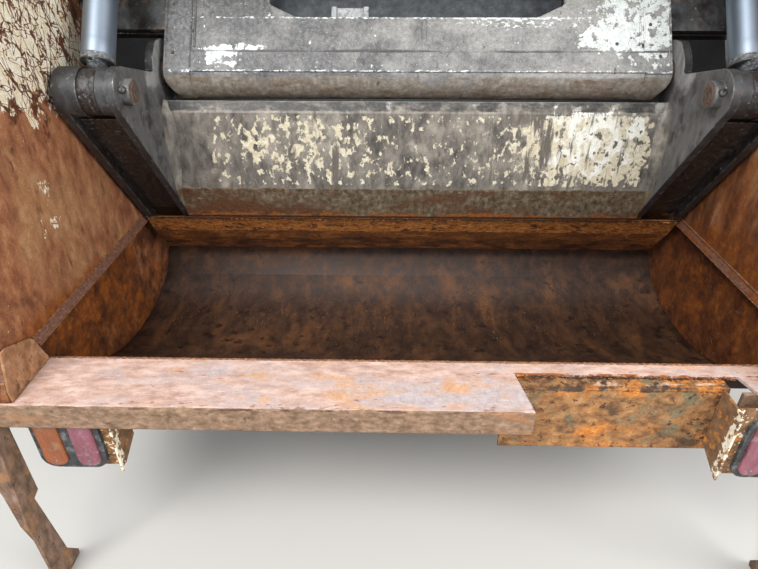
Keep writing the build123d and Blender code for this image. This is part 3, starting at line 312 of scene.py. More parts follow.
@dataclass(frozen=True)
class Finish:
    """A surface, from its bare material up: a stack of layers, with grain and slightly rounded edges.

    pits are the width and the depth of its pits in millimetres, and grain is how much they vary its light.
    """

    name: str
    layers: tuple[Layer, ...]
    pits: tuple[float, float] = (3.0, 0.25)
    grain: float = 0.16
    round_mm: float = 2.5
    coat: float = 0.0
    edge_reach: float = 0.007
    nook_reach: float = 0.09
    samples: int = 4

    def marks(self, tree: Tree) -> tuple[Socket | None, Socket | None]:
        """Gives the nearness of edges and the depth in crevices, each only where a layer asks for it."""
        edge = nook = None
        if any(layer.edges for layer in self.layers):
            wide = add_node(tree, Kind.ROUND, {"samples": self.samples, "Radius": self.edge_reach})
            flat = add_node(tree, Kind.SHAPE, output="Normal")
            match = add_node(tree, Kind.VECTOR, {"operation": "DOT_PRODUCT", 0: wide, 1: flat}, 1)
            edge = add_node(tree, Kind.RANGE, {"Value": match, "From Min": 0.99, "From Max": 0.8})
        if any(layer.corners for layer in self.layers):
            shade = add_node(tree, Kind.CREVICE, {"samples": self.samples, "Distance": self.nook_reach}, "AO")
            nook = add_node(tree, Kind.RANGE, {"Value": shade, "From Min": 0.9, "From Max": 0.3})
        return edge, nook

    def material(self) -> bpy.types.Material:
        """Builds the material, or gives the one built before."""
        if self.name in bpy.data.materials:
            return bpy.data.materials[self.name]
        made = bpy.data.materials.new(self.name)
        made.use_nodes = True
        tree = made.node_tree
        tree.nodes.clear()
        place = add_node(tree, Kind.COORDS, output="Object")
        marks = self.marks(tree)
        metal: Socket | float = self.layers[0].metal
        colour, rough = self.layers[0].tint(tree, place, len(self.name))
        wide, deep = self.pits
        pits = add_node(tree, Kind.NOISE, {"Vector": place, "Scale": 1000.0 / wide, "Detail": 3.0})
        height = add_node(tree, Kind.MATHS, {"operation": "MULTIPLY", 0: pits, 1: deep / 1000.0})
        for index, layer in enumerate(self.layers[1:], 1):
            seed = index + len(self.name)
            shown = layer.cover(tree, place, seed, marks)
            tint, grit = layer.tint(tree, place, seed)
            colour = add_node(tree, Kind.MIX, {"data_type": "RGBA", 0: shown, 6: colour, 7: tint}, 2)
            rough = add_node(tree, Kind.MIX, {0: shown, 2: rough, 3: grit})
            if isinstance(metal, Socket) or layer.metal != metal:
                metal = add_node(tree, Kind.MIX, {0: shown, 2: metal, 3: layer.metal})
            if layer.lift_mm:
                height = add_node(tree, Kind.MATHS, {
                    "operation": "MULTIPLY_ADD", 0: shown, 1: layer.lift_mm / 1000.0, 2: height})
        light = add_node(tree, Kind.RANGE, {"Value": pits, "From Min": NOISE_LOW, "From Max": NOISE_HIGH,
                                            "To Min": 1.0 - self.grain, "To Max": 1.0 + self.grain})
        colour = add_node(tree, Kind.VECTOR, {"operation": "SCALE", 0: colour, 3: light})
        relief = {"Height": height, "Distance": 1.0, "Strength": 0.8}
        if self.round_mm:
            relief["Normal"] = add_node(tree, Kind.ROUND, {"samples": self.samples, "Radius": self.round_mm / 1000.0})
        shader = add_node(tree, Kind.SHADER, {
            "Base Color": colour, "Roughness": rough, "Metallic": metal, "Normal": add_node(tree, Kind.BUMP, relief),
            "Coat Weight": self.coat, "Coat Roughness": 0.15})
        add_node(tree, Kind.OUTPUT, {"Surface": shader})
        return made


PANEL_FACE = OUTWARD.dot(track(0, 0, 71))
WINDOW_FOOT = SLIDE_WAY.dot(track(0, 120, 71))
OUTER_FACES = both_sides(1.055, 1.065, 1.0)

# A layer's numbers are its mottle in millimetres and its roughness, and then the size of its blots in
# millimetres, the level and the softness of its cover.

# Hot rolled sheet inside the hopper. Use has scoured most of its cream enamel off, which leaves
# brown rust that runs down, with enamel left in islands under a net of scratches. It is greasy at the
# front, and near black there, deep in the hopper, as painted shade. Below the ridge's overhang the wall is
# darkened as painted shade. The outside kept its enamel, with rust runs from its chips.
SCOURED_SHEET = Finish("hot_rolled_sheet_scoured_enamel", (
    Layer("#764b33 #90593a #a56d49 #ba885f", 40, 0.72, streak=(1, 1, 1.9)),
    Layer("#a0714a #b18258 #c0956c", 28, 0.75, 190, 0.61, 0.14, drawn=(1, 1, 1.6), where=(
        Patch((-1.0, -1.38, -1.92), (0.2, 0.28, 0.3), 0.09), Slope(BACK, 1.48, 1.66, -0.14))),
    Layer("#6f340c #8f4c12 #a9631f", 25, 0.75, 220, 0.72, 0.14, where=(
        Slope(DOWN, 1.95, 2.2, 0.22), Slope(RIGHT, 0.5, 0.9, 0.12), Slope(RIGHT, 1.0, 1.01, 0.05),
        Patch((1.016, -1.4, -2.16), (0.2, 0.6, 0.26), 0.6), Patch((-1.016, -1.4, -2.16), (0.2, 0.6, 0.22), 0.3))),
    Layer("#5a2f1b #6d3b23 #7c452b", 14, 0.7, 34, 0.66, 0.1, drawn=(1, 1, 3.0)),
    Layer("#4d2916 #623419 #74451f", 20, 0.7, 70, 0.74, 0.16, drawn=(1, 1, 4), where=(
        Slope(RIGHT, 0.5, 0.9, 0.18), Slope(DOWN, 1.55, 1.75, 0.06))),
    # Painted shade: the wall under the ridge's overhang, most at the left wall's rear end, and in crevices, darkened.
    Layer("#3d1d08 #54290d #6a3a15", 22, 0.68, 90, 0.8, 0.14, corners=0.1, where=(
        Slope(DOWN, 2.088, 2.098, 0.3), Patch((-1.016, -1.68, -2.0), (0.2, 0.22, 0.22), 0.22))),
    Layer("#5d3b2e #76503f #916655", 10, 0.7, 30, 1.14, 0.1, drawn=(1, 2.5, 1), where=(
        Slope(DOWN, 2.06, 2.066, 0.8), Slope(DOWN, 2.09, 2.093, -0.8), Slope(RIGHT, 0.5, 0.9, -0.13))),
    Layer("#8e6a4c #b08d6c #c6a584", 8, 0.65, 150, 0.5, 0.08, lines=(
        Strokes((12, 0, 0), 45, 1.6, 0.68), Strokes((-50, 0, 0), 40, 1.5, 0.7), Strokes((75, 0, 0), 50, 1.5, 0.7))),
    Layer("#4a2312 #5d2f1a #6f3f26", 12, 0.65, 60, 0.7, 0.06,
          where=(Patch((-1.0, -1.28, -1.34), (0.4, 0.42, 0.36), 0.32),)),
    Layer("#ead7b2 #f6e8cc #fff8e8", 24, 0.5, 42, 0.7, 0.02, lift_mm=0.25, drawn=(1, 1, 1.5), where=(
        Patch((-1.0, -1.28, -1.34), (0.4, 0.4, 0.34), 0.37), Patch((-1.0, -1.42, -1.8), (0.3, 0.09, 0.13), 0.11),
        Slope(DOWN, 2.0, 2.03, -0.3), Slope(RIGHT, 0, 0.5, -0.2), *OUTER_FACES), cut_by=(
        Strokes((22, 0, 0), 150, 36, 0.017, net=True), Strokes((-30, 0, 0), 120, 34, 0.017, net=True),
        Strokes((66, 0, 0), 90, 28, 0.016, net=True), Strokes((4, 0, 0), 100, 22, 0.013, net=True))),
    Layer("#d3c4a4 #e2d6ba #ece3ce", 60, 0.45, 70, 1.42, 0.02, lift_mm=0.2, streak=(1, 1, 3), where=OUTER_FACES),
    Layer("#b0936c #c2a781", 30, 0.7, 120, 1.56, 0.16, drawn=(1, 1, 4), where=OUTER_FACES),
    Layer("#855432 #9c6c43", 20, 0.7, 34, 1.66, 0.09, drawn=(1, 1, 9), where=OUTER_FACES),
    # Painted shade: near black deep inside towards the front, over the grease there.
    Layer("#0d0a09 #171210 #221b17", 25, 0.8, 60, 0.86, 0.12, where=(
        Slope(FORWARD, -1.06, -0.86, 0.66), Slope(DOWN, 1.62, 1.85, -0.5), Slope(FORWARD, -0.5, -0.1, -0.42),
        *both_sides(1.018, 1.024, -1.0))),
), pits=(4, 0.55), grain=0.22)

# Enamelled outside of the hull: cream, chalky, with rust that bleeds down from chips and welds.
CHALKY_ENAMEL = Finish("cream_enamel_chalky_rust_runs", (
    Layer("#cdbf9f #ddd1b5 #e9e0ca", 80, 0.5, streak=(1, 1, 3)),
    Layer("#b9a98a #a89774", 40, 0.6, 240, 0.56, 0.12, corners=0.25),
    Layer("#8f6038 #a87a4b", 22, 0.7, 36, 0.65, 0.09, drawn=(1, 1, 9)),
    Layer("#4f2f1e #6d4429 #875a37", 14, 0.75, 30, 0.66, 0.02, edges=0.17, lift_mm=-0.25),
), pits=(5, 0.15), grain=0.08)

# The curved pan under the blade's path, polished by use and rusty again.
FLOOR_PAN = Finish("abrasion_plate_rusted_again", (
    Layer("#2b1a13 #3d2719 #523521", 40, 0.6, streak=(1, 2, 1)),
    Layer("#5d3a21 #6c4628", 20, 0.65, 90, 0.6, 0.12, drawn=(1, 3, 1)),
    Layer("#9a7450 #b08a64", 8, 0.6, 140, 0.5, 0.1, lines=(Strokes((90, 0, 0), 60, 1.8, 0.66),)),
    Layer("#1a100c #281811", 15, 0.5, 45, 0.62, 0.08, corners=0.25),
), pits=(3, 0.4), grain=0.2)

# Thick sill plate, rubbed smooth by use: pale pinkish rust film with fine lengthwise scratches on top,
# and duller brown on its turned-down flange.
SILL_TOP = Finish("mild_steel_plate_rubbed_rust_film", (
    Layer("#ad8b7b #c29f90 #d3b3a4 #dfc3b5", 22, 0.55, streak=(2.5, 1, 1)),
    Layer("#ab9c9b #bdaeac #cbbdba", 16, 0.5, 110, 0.58, 0.1, drawn=(2, 1, 1),
          where=(Patch(row(180, -140, 0), (0.45, 0.09, 0.05), 0.2),)),
    Layer("#c3936f #cfa07c #dcb395", 12, 0.6, 50, 0.62, 0.1, drawn=(2.5, 1, 1),
          where=(Patch(row(-150, -110, 0), (0.5, 0.1, 0.05), 0.05),)),
    Layer("#a07a66 #8f6a57", 9, 0.6, 12, 0.68, 0.05, drawn=(2.5, 1, 1), where=(Slope(BACK, 1.78, 1.8, 0.09),)),
    Layer("#f0ded4 #fbeee6", 6, 0.42, 120, 0.46, 0.1, lines=(
        Strokes((0, 90, 0), 60, 1.2, 0.67), Strokes((0, 84, 0), 40, 1.0, 0.7))),
    Layer("#8d6a58 #7a5a4a", 6, 0.6, 120, 0.48, 0.1, lines=(
        Strokes((0, 91, 0), 70, 1.2, 0.68), Strokes((0, 70, 40), 30, 1.0, 0.71))),
    Layer("#6a503c #7f644c #957760 #a98a70", 16, 0.72, 60, 0.92, 0.05, streak=(1.6, 1, 1), where=(
        Slope(BACK, 1.8035, 1.8105, 0.7), Slope(DOWN, 2.155, 2.16, 0.5))),
    Layer("#9a6a45 #ae7d55", 12, 0.72, 60, 1.18, 0.1, drawn=(3, 1, 1), where=(
        Slope(BACK, 1.8095, 1.8105, 0.5), Slope(RIGHT, -0.1, 0.25, 0.14))),
    Layer("#5f4735 #6d5440", 10, 0.7, 30, 1.12, 0.06, where=(Slope(BACK, 1.8095, 1.8105, 0.5),)),
    Layer("#4a3223 #614532", 10, 0.75, 30, 0.86, 0.06, drawn=(3, 1, 1),
          where=(Patch(row(0, -189, -5), (3.2, 0.007, 0.007), 0.34),)),
    Layer("#8a4a26 #a4602f #5b2f1a", 12, 0.8, 22, 0.96, 0.05, drawn=(2, 1, 1),
          where=(Patch(row(551, -46, 0), (0.9, 0.01, 0.03), 0.46),)),
), pits=(4, 0.3), round_mm=4, grain=0.07)

# Plate that rusts in the wet, with bright orange bloom over brown scale.
ORANGE_SCALE = Finish("mild_steel_orange_scale", (
    Layer("#6b4728 #8a5f38 #a37548 #b88a5a", 26, 0.85, streak=(1.4, 1, 1)),
    Layer("#ac6020 #c97b32 #dc964a", 12, 0.9, 110, 0.54, 0.08, drawn=(1.4, 1, 1), lift_mm=0.15),
    Layer("#4a3320 #5f4329", 9, 0.8, 60, 0.59, 0.08, drawn=(1.4, 1, 1)),
    Layer("#5b5340 #736a50 #8c8263", 14, 0.75, 70, 0.63, 0.08,
          where=(Patch(row(690, -90, -70), (0.12, 0.1, 0.12), 0.1),)),
    Layer("#3a2418 #4c2e1e", 8, 0.7, 16, 0.62, 0.05, corners=0.15, edges=0.16),
    Layer("#b08c72 #caa88c #dcbfa4", 8, 0.7, 22, 0.86, 0.04, drawn=(3, 1, 1),
          where=(Patch(row(585, -66, -14), (0.42, 0.022, 0.03), 0.36),)),
    # Painted shadow: a dark band along the rear edge of the panel's ledge.
    Layer("#3b2a20 #54402f", 10, 0.7, 40, 0.84, 0.06, where=(Patch(row(520, -90, -16), (0.5, 0.1, 0.02), 0.3),)),
), pits=(3, 0.8), grain=0.25)

# Small plates over the sill's ends: an even brown film with paler dust.
RUSTED_GUSSET = Finish("mild_steel_brown_film", (
    Layer("#7d5738 #966a47 #a97b57 #ba8c69", 30, 0.75, streak=(1, 1, 1.6)),
    Layer("#c39b7a #d2ad8e", 10, 0.75, 50, 0.64, 0.1),
    Layer("#5d3c25 #714b30", 9, 0.75, 24, 0.64, 0.06, corners=0.15),
), pits=(3, 0.4), grain=0.16)

# Blade face: cream enamel smeared and chipped down to grey steel, most of it kept on the right, with a
# rusty brown foot and greasy dirt on the ledge under the panel.
BLADE_FACE = Finish("blade_plate_chipped_enamel", (
    Layer("#494541 #625d57 #7b756d #8c857b", 30, 0.5, streak=(1, 1, 2.4), metal=0.25),
    Layer("#8d8579 #9d9588 #ada597", 16, 0.6, 90, 0.57, 0.12, drawn=(1.2, 1, 1.4)),
    Layer("#bfb294 #d0c5aa #dfd8c4", 14, 0.45, 20, 0.572, 0.016, lift_mm=0.3, drawn=(1, 1, 1.4), detail=8.0, where=(
        Patch((0.6, -0.96, -1.76), (0.34, 0.3, 0.19), 0.17), Patch((-0.4, -0.96, -1.76), (0.3, 0.3, 0.13), 0.065),
        Patch((0.1, -0.96, -1.74), (0.3, 0.3, 0.1), -0.03), Slope(LEFT, 0.66, 0.76, -0.3),
        Slope(RIGHT, 0.76, 0.82, -0.14), Slope(DOWN, 1.895, 1.915, -0.5), Slope(UP, -1.665, -1.645, -0.4))),
    Layer("#dedacd #eae7dc #f6f3ea", 24, 0.45, 34, 0.72, 0.05, drawn=(1, 1, 1.6),
          where=(Patch((0.6, -0.96, -1.74), (0.28, 0.3, 0.19), 0.23),)),
    Layer("#59524a #6c645a #453f39", 12, 0.55, 18, 0.63, 0.014, drawn=(1, 1, 1.3), lift_mm=-0.2,
          where=(Patch((0.6, -0.96, -1.8), (0.4, 0.3, 0.2), 0.035),)),
    Layer("#5b544c #6d655c", 10, 0.55, 26, 0.62, 0.05, drawn=(1, 1, 9),
          where=(Patch((0.42, -0.96, -1.76), (0.1, 0.3, 0.2), 0.12),)),
    Layer("#463829 #63543f #7d6e58 #988a77", 16, 0.7, 60, 0.92, 0.06, streak=(1, 1, 1.6),
          where=(Slope(DOWN, 1.905, 1.918, 0.7),)),
    Layer("#4e3220 #654128 #7c5335", 10, 0.75, 60, 1.02, 0.12, drawn=(2, 1, 1), where=(
        Slope(DOWN, 1.912, 1.922, 0.45), Slope(LEFT, 0.2, 0.6, 0.08), Slope(DOWN, 1.98, 2.03, 0.06))),
    Layer("#6b4a33 #8a6648", 8, 0.7, 160, 0.52, 0.08, lines=(
        Strokes((4, 0, 0), 70, 2.2, 0.68), Strokes((-3, 0, 0), 110, 2.6, 0.71))),
    Layer("#1c1a18 #35322e #514d49", 12, 0.5, 40, 0.78, 0.1, corners=0.2, drawn=(2, 1, 1),
          where=(Slope(UP, -1.655, -1.645, 0.3),)),
    Layer("#8d8983 #a39f99", 8, 0.5, 60, 0.66, 0.05, edges=0.34, where=(Slope(DOWN, 1.68, 1.7, -0.6),)),
    Layer("#8f7d6c #a3937f #b4a48f", 8, 0.7, 16, 1.07, 0.03, drawn=(2, 1, 1), where=(
        Slope(DOWN, 1.908, 1.92, 0.42), Slope(DOWN, 1.955, 1.985, -0.1))),
    Layer("#6b3a17 #935827 #b9783c", 7, 0.8, 20, 0.94, 0.04, drawn=(2, 1, 1), lift_mm=0.4,
          where=(Slope(DOWN, 1.975, 2.045, 0.5),)),
), pits=(2.5, 0.3), round_mm=4, grain=0.16)

# The hollow strips at the blade's ends: the same plate and its rusty foot, with the enamel all gone.
BLADE_COVE = replace(BLADE_FACE, name="blade_cove_bare", round_mm=0.0,
                     layers=tuple(BLADE_FACE.layers[i] for i in (0, 1, 6, 7)))

# Wear lip: hardened strip, bright orange brown above its crease and darker below it, where its lower face is darkened
# as painted shade.
WEAR_LIP = Finish("wear_strip_rusted", (
    Layer("#77431c #a5632c #c67d38 #e09a4c", 12, 0.72, streak=(1.7, 1, 1)),
    Layer("#b06a28 #c87e36", 10, 0.8, 40, 0.61, 0.08, drawn=(2, 1, 1), lift_mm=0.2),
    Layer("#40210f #59311a", 8, 0.68, 20, 0.59, 0.06, drawn=(2, 1, 1), edges=0.1),
    Layer("#c18550 #d8a470", 6, 0.75, 9, 0.61, 0.05, drawn=(1.6, 1, 1), lift_mm=0.3, detail=4.0),
    # Painted shade: the lip's lower face darkened, darkest at its bottom edge.
    Layer("#5c3517 #7d4921 #9e6535", 12, 0.68, 60, 0.88, 0.12, drawn=(2, 1, 1),
          where=(Slope(DOWN, 2.125, 2.145, 0.42),)),
    Layer("#3d200f #573116", 12, 0.68, 50, 0.92, 0.12, drawn=(2, 1, 1), where=(Slope(DOWN, 2.15, 2.2, 0.4),)),
    Layer("#b98552 #d3a06a #e2b584", 8, 0.8, 14, 0.8, 0.05, drawn=(2.5, 1, 1), lift_mm=0.5,
          where=(Patch(row(0, 736, 86), (3.2, 0.018, 0.018), 0.36),)),
    Layer("#b58a66 #caa27e", 6, 0.6, 120, 0.5, 0.08, lines=(Strokes((0, 90, 0), 60, 1.4, 0.69),)),
), pits=(4, 0.8), round_mm=3, grain=0.3)

# Pressed panel: grey steel under thin cream enamel, worn through, with white left in blots along its
# bends and over its right end, and brown runs down its nose. A thin white line along the bend over the
# nose is a painted highlight, dark lines along the lap's step and under that bend are painted shadow,
# and the inside of the window is darkened as painted shade, near black at its foot.
PANEL_FOOT = down_slide(-35, -50, 0.45)
PANEL_INSIDE = (Slope(-OUTWARD, 0.008 - PANEL_FACE, 0.011 - PANEL_FACE, 1.0),
                Slope(SLIDE_WAY, WINDOW_FOOT, WINDOW_FOOT + 0.01, 1.0))
SLIDE_SKIN = Finish("pressed_panel_worn_enamel", (
    Layer("#434242 #565555 #676666 #797877", 12, 0.5, metal=0.3, streak=(1, 1, 1.6)),
    Layer("#83817d #969490 #a5a39e", 12, 0.55, 150, 0.6, 0.16, where=(Slope(RIGHT, -0.4, 0.5, 0.16),)),
    Layer("#c3c7c4 #d4d8d5 #e6ebe9", 24, 0.45, 26, 0.68, 0.022, lift_mm=0.2, detail=9.0, where=(
        Patch(track(715, 140, 71), (0.25, 0.22, 0.22), 0.21), Patch(track(-570, 46, 71), (0.16, 0.022, 0.022), 0.22),
        Patch(track(-616, 12, 71), (0.09, 0.045, 0.045), 0.2), Patch(track(590, 70, 71), (0.14, 0.06, 0.05), 0.12),
        Slope(RIGHT, 0.79, 0.8, -0.1), Patch(track(0, -90, 50), (1.2, 0.09, 0.05), -0.3))),
    # White paint along the upper fold and in a blot; the line along the bend over the nose is a painted highlight.
    Layer("#c3c5c2 #e9edeb", 9, 0.45, 9, 0.73, 0.04, drawn=(1.6, 1, 1), lift_mm=0.2, where=(
        Patch(track(0, 147, 71), (1.4, 0.007, 0.007), 0.22), Patch(track(0, -31, 73), (2.4, 0.007, 0.007), 0.2),
        Patch(track(300, 128, 71), (0.28, 0.03, 0.03), 0.16))),
    # Painted shadow: dark lines along the lap's step and just under the bend over the nose.
    Layer("#403e3c #53504d", 10, 0.5, 40, 0.8, 0.1, drawn=(5, 1, 1), where=(
        Patch(track(0, 35, 71), (3.0, 0.009, 0.009), 0.34), Patch(track(0, -36, 71), (3.0, 0.004, 0.004), 0.3))),
    Layer("#3b3a39 #4c4b49", 4, 0.55, 6, 0.66, 0.04, detail=3.0),
    Layer("#b3b2ae #c6c5c1", 4, 0.5, 6, 0.69, 0.04, detail=3.0),
    Layer("#5f574e #776e63 #91887c", 18, 0.6, 70, 0.82, 0.14, drawn=(2, 1, 1), where=(PANEL_FOOT,)),
    Layer("#504234 #67574a #846d58", 10, 0.6, 26, 1.02, 0.08, drawn=(3, 1, 1), where=(PANEL_FOOT,)),
    Layer("#3d3834 #514b45", 10, 0.5, 24, 0.67, 0.05, drawn=(1, 1, 2), corners=0.12),
    Layer("#b4b5b2 #c8c9c6", 5, 0.4, 120, 0.5, 0.1, lines=(
        Strokes((36, 0, 0), 45, 1.2, 0.69), Strokes((0, 88, 0), 50, 1.2, 0.71))),
    Layer("#3f3b38 #56524e", 6, 0.5, 120, 0.5, 0.1, lines=(Strokes((38, 8, 0), 40, 1.2, 0.7),)),
    # Painted shade: the inside of the window darkened, and near black at its foot below.
    Layer("#383b3f #4b4f53 #5f6367", 30, 0.6, 60, 2.0, 0.06, where=PANEL_INSIDE),
    Layer("#17110d #2a211b #43382e", 9, 0.8, 14, 2.0, 0.1, where=(
        *PANEL_INSIDE, Slope(SLIDE_WAY, WINDOW_FOOT + 0.048, WINDOW_FOOT + 0.06, -0.8))),
), pits=(3.5, 0.2), round_mm=3, grain=0.2)

# Bracket behind the panel: old enamel gone flat, with paler blots.
FADED_BRACKET = Finish("bracket_faded_enamel", (
    Layer("#8a8c8d #a0a2a3 #b4b6b6", 14, 0.55),
    Layer("#5b5c5c #6e6f6f", 8, 0.6, 14, 0.6, 0.05, edges=0.1),
    Layer("#d3d4d2 #e6e6e4", 8, 0.5, 14, 0.7, 0.04),
), pits=(2, 0.1), round_mm=1.5, grain=0.1)

# Arms: plate under a film of old grease and dust, near black in the channel between the plates. The
# inner faces are made lighter grey as painted light, lightest towards their top, and the bosses kept
# darker as painted shade.
INNER_FACES = both_sides(0.8245, 0.828, -0.8)
GREASED_PLATE = Finish("steel_plate_greased", (
    Layer("#333334 #444445 #585859", 30, 0.52, metal=0.35, streak=(1, 1, 2)),
    Layer("#262322 #343130", 20, 0.45, 80, 0.58, 0.12, corners=0.2),
    # Painted light: lighter grey on the inner faces, with the bosses left darker as painted shade.
    Layer("#565554 #6a6968 #7e7d7c", 34, 0.55, 60, 0.36, 0.1, metal=0.25, streak=(1, 1, 2.4), where=(
        *INNER_FACES, *(Patch(row(x, *EYE), (0.03, 0.05, 0.05), -0.3) for x in (-811, 811)))),
    # Painted light: the inner faces lighter still towards their top, where the horn's face gets little light.
    Layer("#8e8d8b #a5a4a2 #bbbab8", 34, 0.55, 60, 0.8, 0.14, metal=0.2, streak=(1, 1, 2.4), where=(
        *INNER_FACES, Slope(UP, -1.62, -1.53, 0.5), Slope(BACK, 1.02, 1.1, -0.6))),
    Layer("#9d9b96 #b3b1ab", 5, 0.5, 70, 0.5, 0.1, where=INNER_FACES, lines=(Strokes((4, 0, 0), 60, 1.6, 0.66),)),
    Layer("#15100e #231b18 #33291f", 16, 0.4, 50, 0.92, 0.1, lift_mm=0.5, where=(
        *both_sides(0.842, 0.856, 0.62), *both_sides(0.965, 0.99, -0.45), Slope(UP, -1.62, -1.56, -0.4))),
    Layer("#7d7b79 #949290", 8, 0.42, 16, 0.66, 0.05, edges=0.18, metal=0.5),
    Layer("#8a887f #a19f95", 5, 0.5, 100, 0.5, 0.1, lines=(Strokes((4, 0, 0), 45, 1.2, 0.69),)),
    Layer("#5e4230 #75543a", 10, 0.7, 35, 0.74, 0.06, where=(
        Slope(DOWN, 1.98, 2.06, 0.14), Slope(RIGHT, 0.6, 0.9, 0.04))),
), pits=(2.5, 0.25), round_mm=4, grain=0.14)

# Carriage beams and shoes, hinge ears: the same plate, further from the grease, with brown rust dust.
DUSTY_PLATE = Finish("steel_plate_oily_dust", (
    Layer("#3a3b3c #4d4e4f #626261", 30, 0.5, metal=0.3, streak=(1, 1, 2)),
    Layer("#1b1817 #2a2624", 22, 0.4, 70, 0.56, 0.12, corners=0.35, lift_mm=0.4),
    Layer("#5c4a3b #6f5a48", 12, 0.75, 45, 0.63, 0.08),
    Layer("#7b7977 #8f8d8b", 8, 0.42, 16, 0.66, 0.05, edges=0.15, metal=0.5),
), pits=(2.5, 0.25), round_mm=4, grain=0.14)

# Hard chrome on ground bar: bright, faintly blue, with a dull film of oil and dust near the eye's end.
HARD_CHROME = Finish("hard_chrome_ground", (
    Layer("#808a96 #8b95a1 #97a1ac", 300, 0.52, metal=1.0, streak=(1, 1, 6)),
    Layer("#7c8086 #8e9298", 60, 0.45, 220, 0.6, 0.15, drawn=(1, 1, 3), metal=0.9),
    Layer("#6d6c6b #7f7e7c", 10, 0.5, 30, 0.92, 0.16, metal=0.6, drawn=(2.5, 2.5, 1),
          where=(down_slide(-60, -100, 0.55),)),
    Layer("#2b2a2a #434241 #5f5e5c", 8, 0.5, 12, 0.94, 0.08, drawn=(2, 2, 1), lift_mm=0.6,
          where=(down_slide(-92, -112, 0.62),)),
), pits=(60, 0.02), round_mm=1.5, grain=0.02)

# Cylinder tubes: charcoal enamel with oily dust.
BARREL_ENAMEL = Finish("charcoal_enamel_dusty", (
    Layer("#2b2c2d #3b3c3d #4b4b4a", 40, 0.4),
    Layer("#5f5a52 #777066", 20, 0.75, 70, 0.55, 0.1, corners=0.2),
    Layer("#6a3f24 #7f5030", 10, 0.8, 22, 0.64, 0.03, edges=0.12),
), pits=(2, 0.1), round_mm=2, grain=0.08)

# Rails: steel bar worn bright by the shoes.
RAIL_BAR = Finish("rail_bar_worn_bright", (
    Layer("#6b6660 #8c8882 #a5a29c", 30, 0.32, metal=0.9, streak=(1, 3, 5)),
    Layer("#33261d #4a3626", 15, 0.6, 50, 0.54, 0.06, corners=0.2, drawn=(1, 2, 3)),
), pits=(3, 0.1), round_mm=2, grain=0.06)

# Pin ends: turned steel, rusty brown in the turning marks.
PIN_END = Finish("turned_pin_end_rusty", (
    Layer("#4c3e36 #62544b #76675d", 8, 0.7, metal=0.2),
    Layer("#3a2c25 #4d3a30", 6, 0.75, 10, 0.58, 0.06, corners=0.2),
), pits=(1.5, 0.12), round_mm=1.5, grain=0.12)

# Moulded rubber with a chalky bloom.
MOULDED_RUBBER = Finish("moulded_rubber_bloomed", (
    Layer("#2c2d2e #3a3b3c #4a4b4b", 15, 0.7),
    Layer("#66686a #7c7e7f", 8, 0.85, 25, 0.6, 0.1, edges=0.1),
), pits=(1.5, 0.08), round_mm=2.5, grain=0.08)

# Acrylic lenses gone dull in the sun, with fine upright lines and dust.
AMBER_LENS = Finish("amber_acrylic_weathered", (
    Layer("#74370c #8a4412 #9e521e", 24, 0.38, streak=(1, 1, 4)),
    Layer("#98602f #a97040", 8, 0.55, 60, 0.5, 0.12, lines=(Strokes((0, 0, 0), 60, 2.0, 0.62),)),
    Layer("#8f6a4c #a17c5c", 8, 0.7, 30, 0.64, 0.1, edges=0.1),
), pits=(2, 0.1), round_mm=2, coat=0.4, grain=0.06)
RED_LENS = Finish("red_acrylic_weathered", (
    Layer("#6f3542 #844653 #985665", 24, 0.4, streak=(1, 1, 4)),
    Layer("#a87886 #b78a96", 8, 0.6, 60, 0.5, 0.12, lines=(Strokes((0, 0, 0), 60, 2.0, 0.62),)),
    Layer("#b79aa0 #a88a90", 8, 0.7, 30, 0.64, 0.1, edges=0.1),
), pits=(2, 0.1), round_mm=2, coat=0.4, grain=0.06)

# Lamp brackets: cream enamel that flakes off orange rust.
FLAKING_BRACKET = Finish("bracket_steel_flaking_enamel", (
    Layer("#5f4530 #7f5d40 #946f4c", 22, 0.8),
    Layer("#b5702e #cf8a3c", 12, 0.85, 26, 0.59, 0.05),
    Layer("#e0d2b4 #f2e6cc #fff6e4", 12, 0.55, 16, 0.58, 0.015, lift_mm=0.4, where=(
        Slope(FORWARD, -1.775, -1.77, -0.3), Slope(BACK, 1.7785, 1.78, 0.1))),
), pits=(2.5, 0.5), round_mm=1.5, grain=0.2)

# Step legs: bent bar, brown with a little orange where it was bent.
HANGER_BAR = Finish("step_bar_brown_rust", (
    Layer("#53402f #6f5543 #876a56 #9c8070", 26, 0.75, streak=(1, 1, 2.4)),
    Layer("#95673f #a97a50", 12, 0.8, 60, 0.6, 0.1),
    Layer("#3a2c23 #49382c", 9, 0.7, 20, 0.64, 0.05, corners=0.15),
), pits=(2.5, 0.5), round_mm=2, grain=0.2)

# Old lithium grease with dust and grit in it.
OLD_GREASE = Finish("old_grease_gritty", (
    Layer("#191715 #2b2725 #454140", 10, 0.38),
    Layer("#66635f #807c77", 5, 0.8, 9, 0.63, 0.05),
), pits=(2, 0.7), round_mm=0, grain=0.2)

# Grease worked stiff and grey by the rod's travel, in wrinkles that catch the light.
NECK_GREASE = Finish("stiff_grease_grey", (
    Layer("#3a3b3c #565758 #737475 #868788", 9, 0.5),
    Layer("#232222 #323130", 5, 0.5, 14, 0.58, 0.06, drawn=(2, 2, 1)),
), pits=(3, 0.9), round_mm=0, grain=0.2)

# Zinc plated fasteners, dulled.
DULL_ZINC = Finish("zinc_plated_dulled", (
    Layer("#6b6a68 #858482 #9c9b99", 12, 0.45, metal=0.6),
    Layer("#54453a #6e5a4a", 6, 0.75, 9, 0.62, 0.05),
), pits=(1.5, 0.1), round_mm=1, grain=0.08)

# Arc welds: rippled bead, rusted like its plates.
RUSTY_WELD = Finish("arc_weld_rusted", (
    Layer("#5a3a26 #7a5338 #966c4c", 10, 0.7),
    Layer("#a0693c #b9814e", 6, 0.75, 12, 0.6, 0.05),
), pits=(2, 0.3), round_mm=0, grain=0.2)

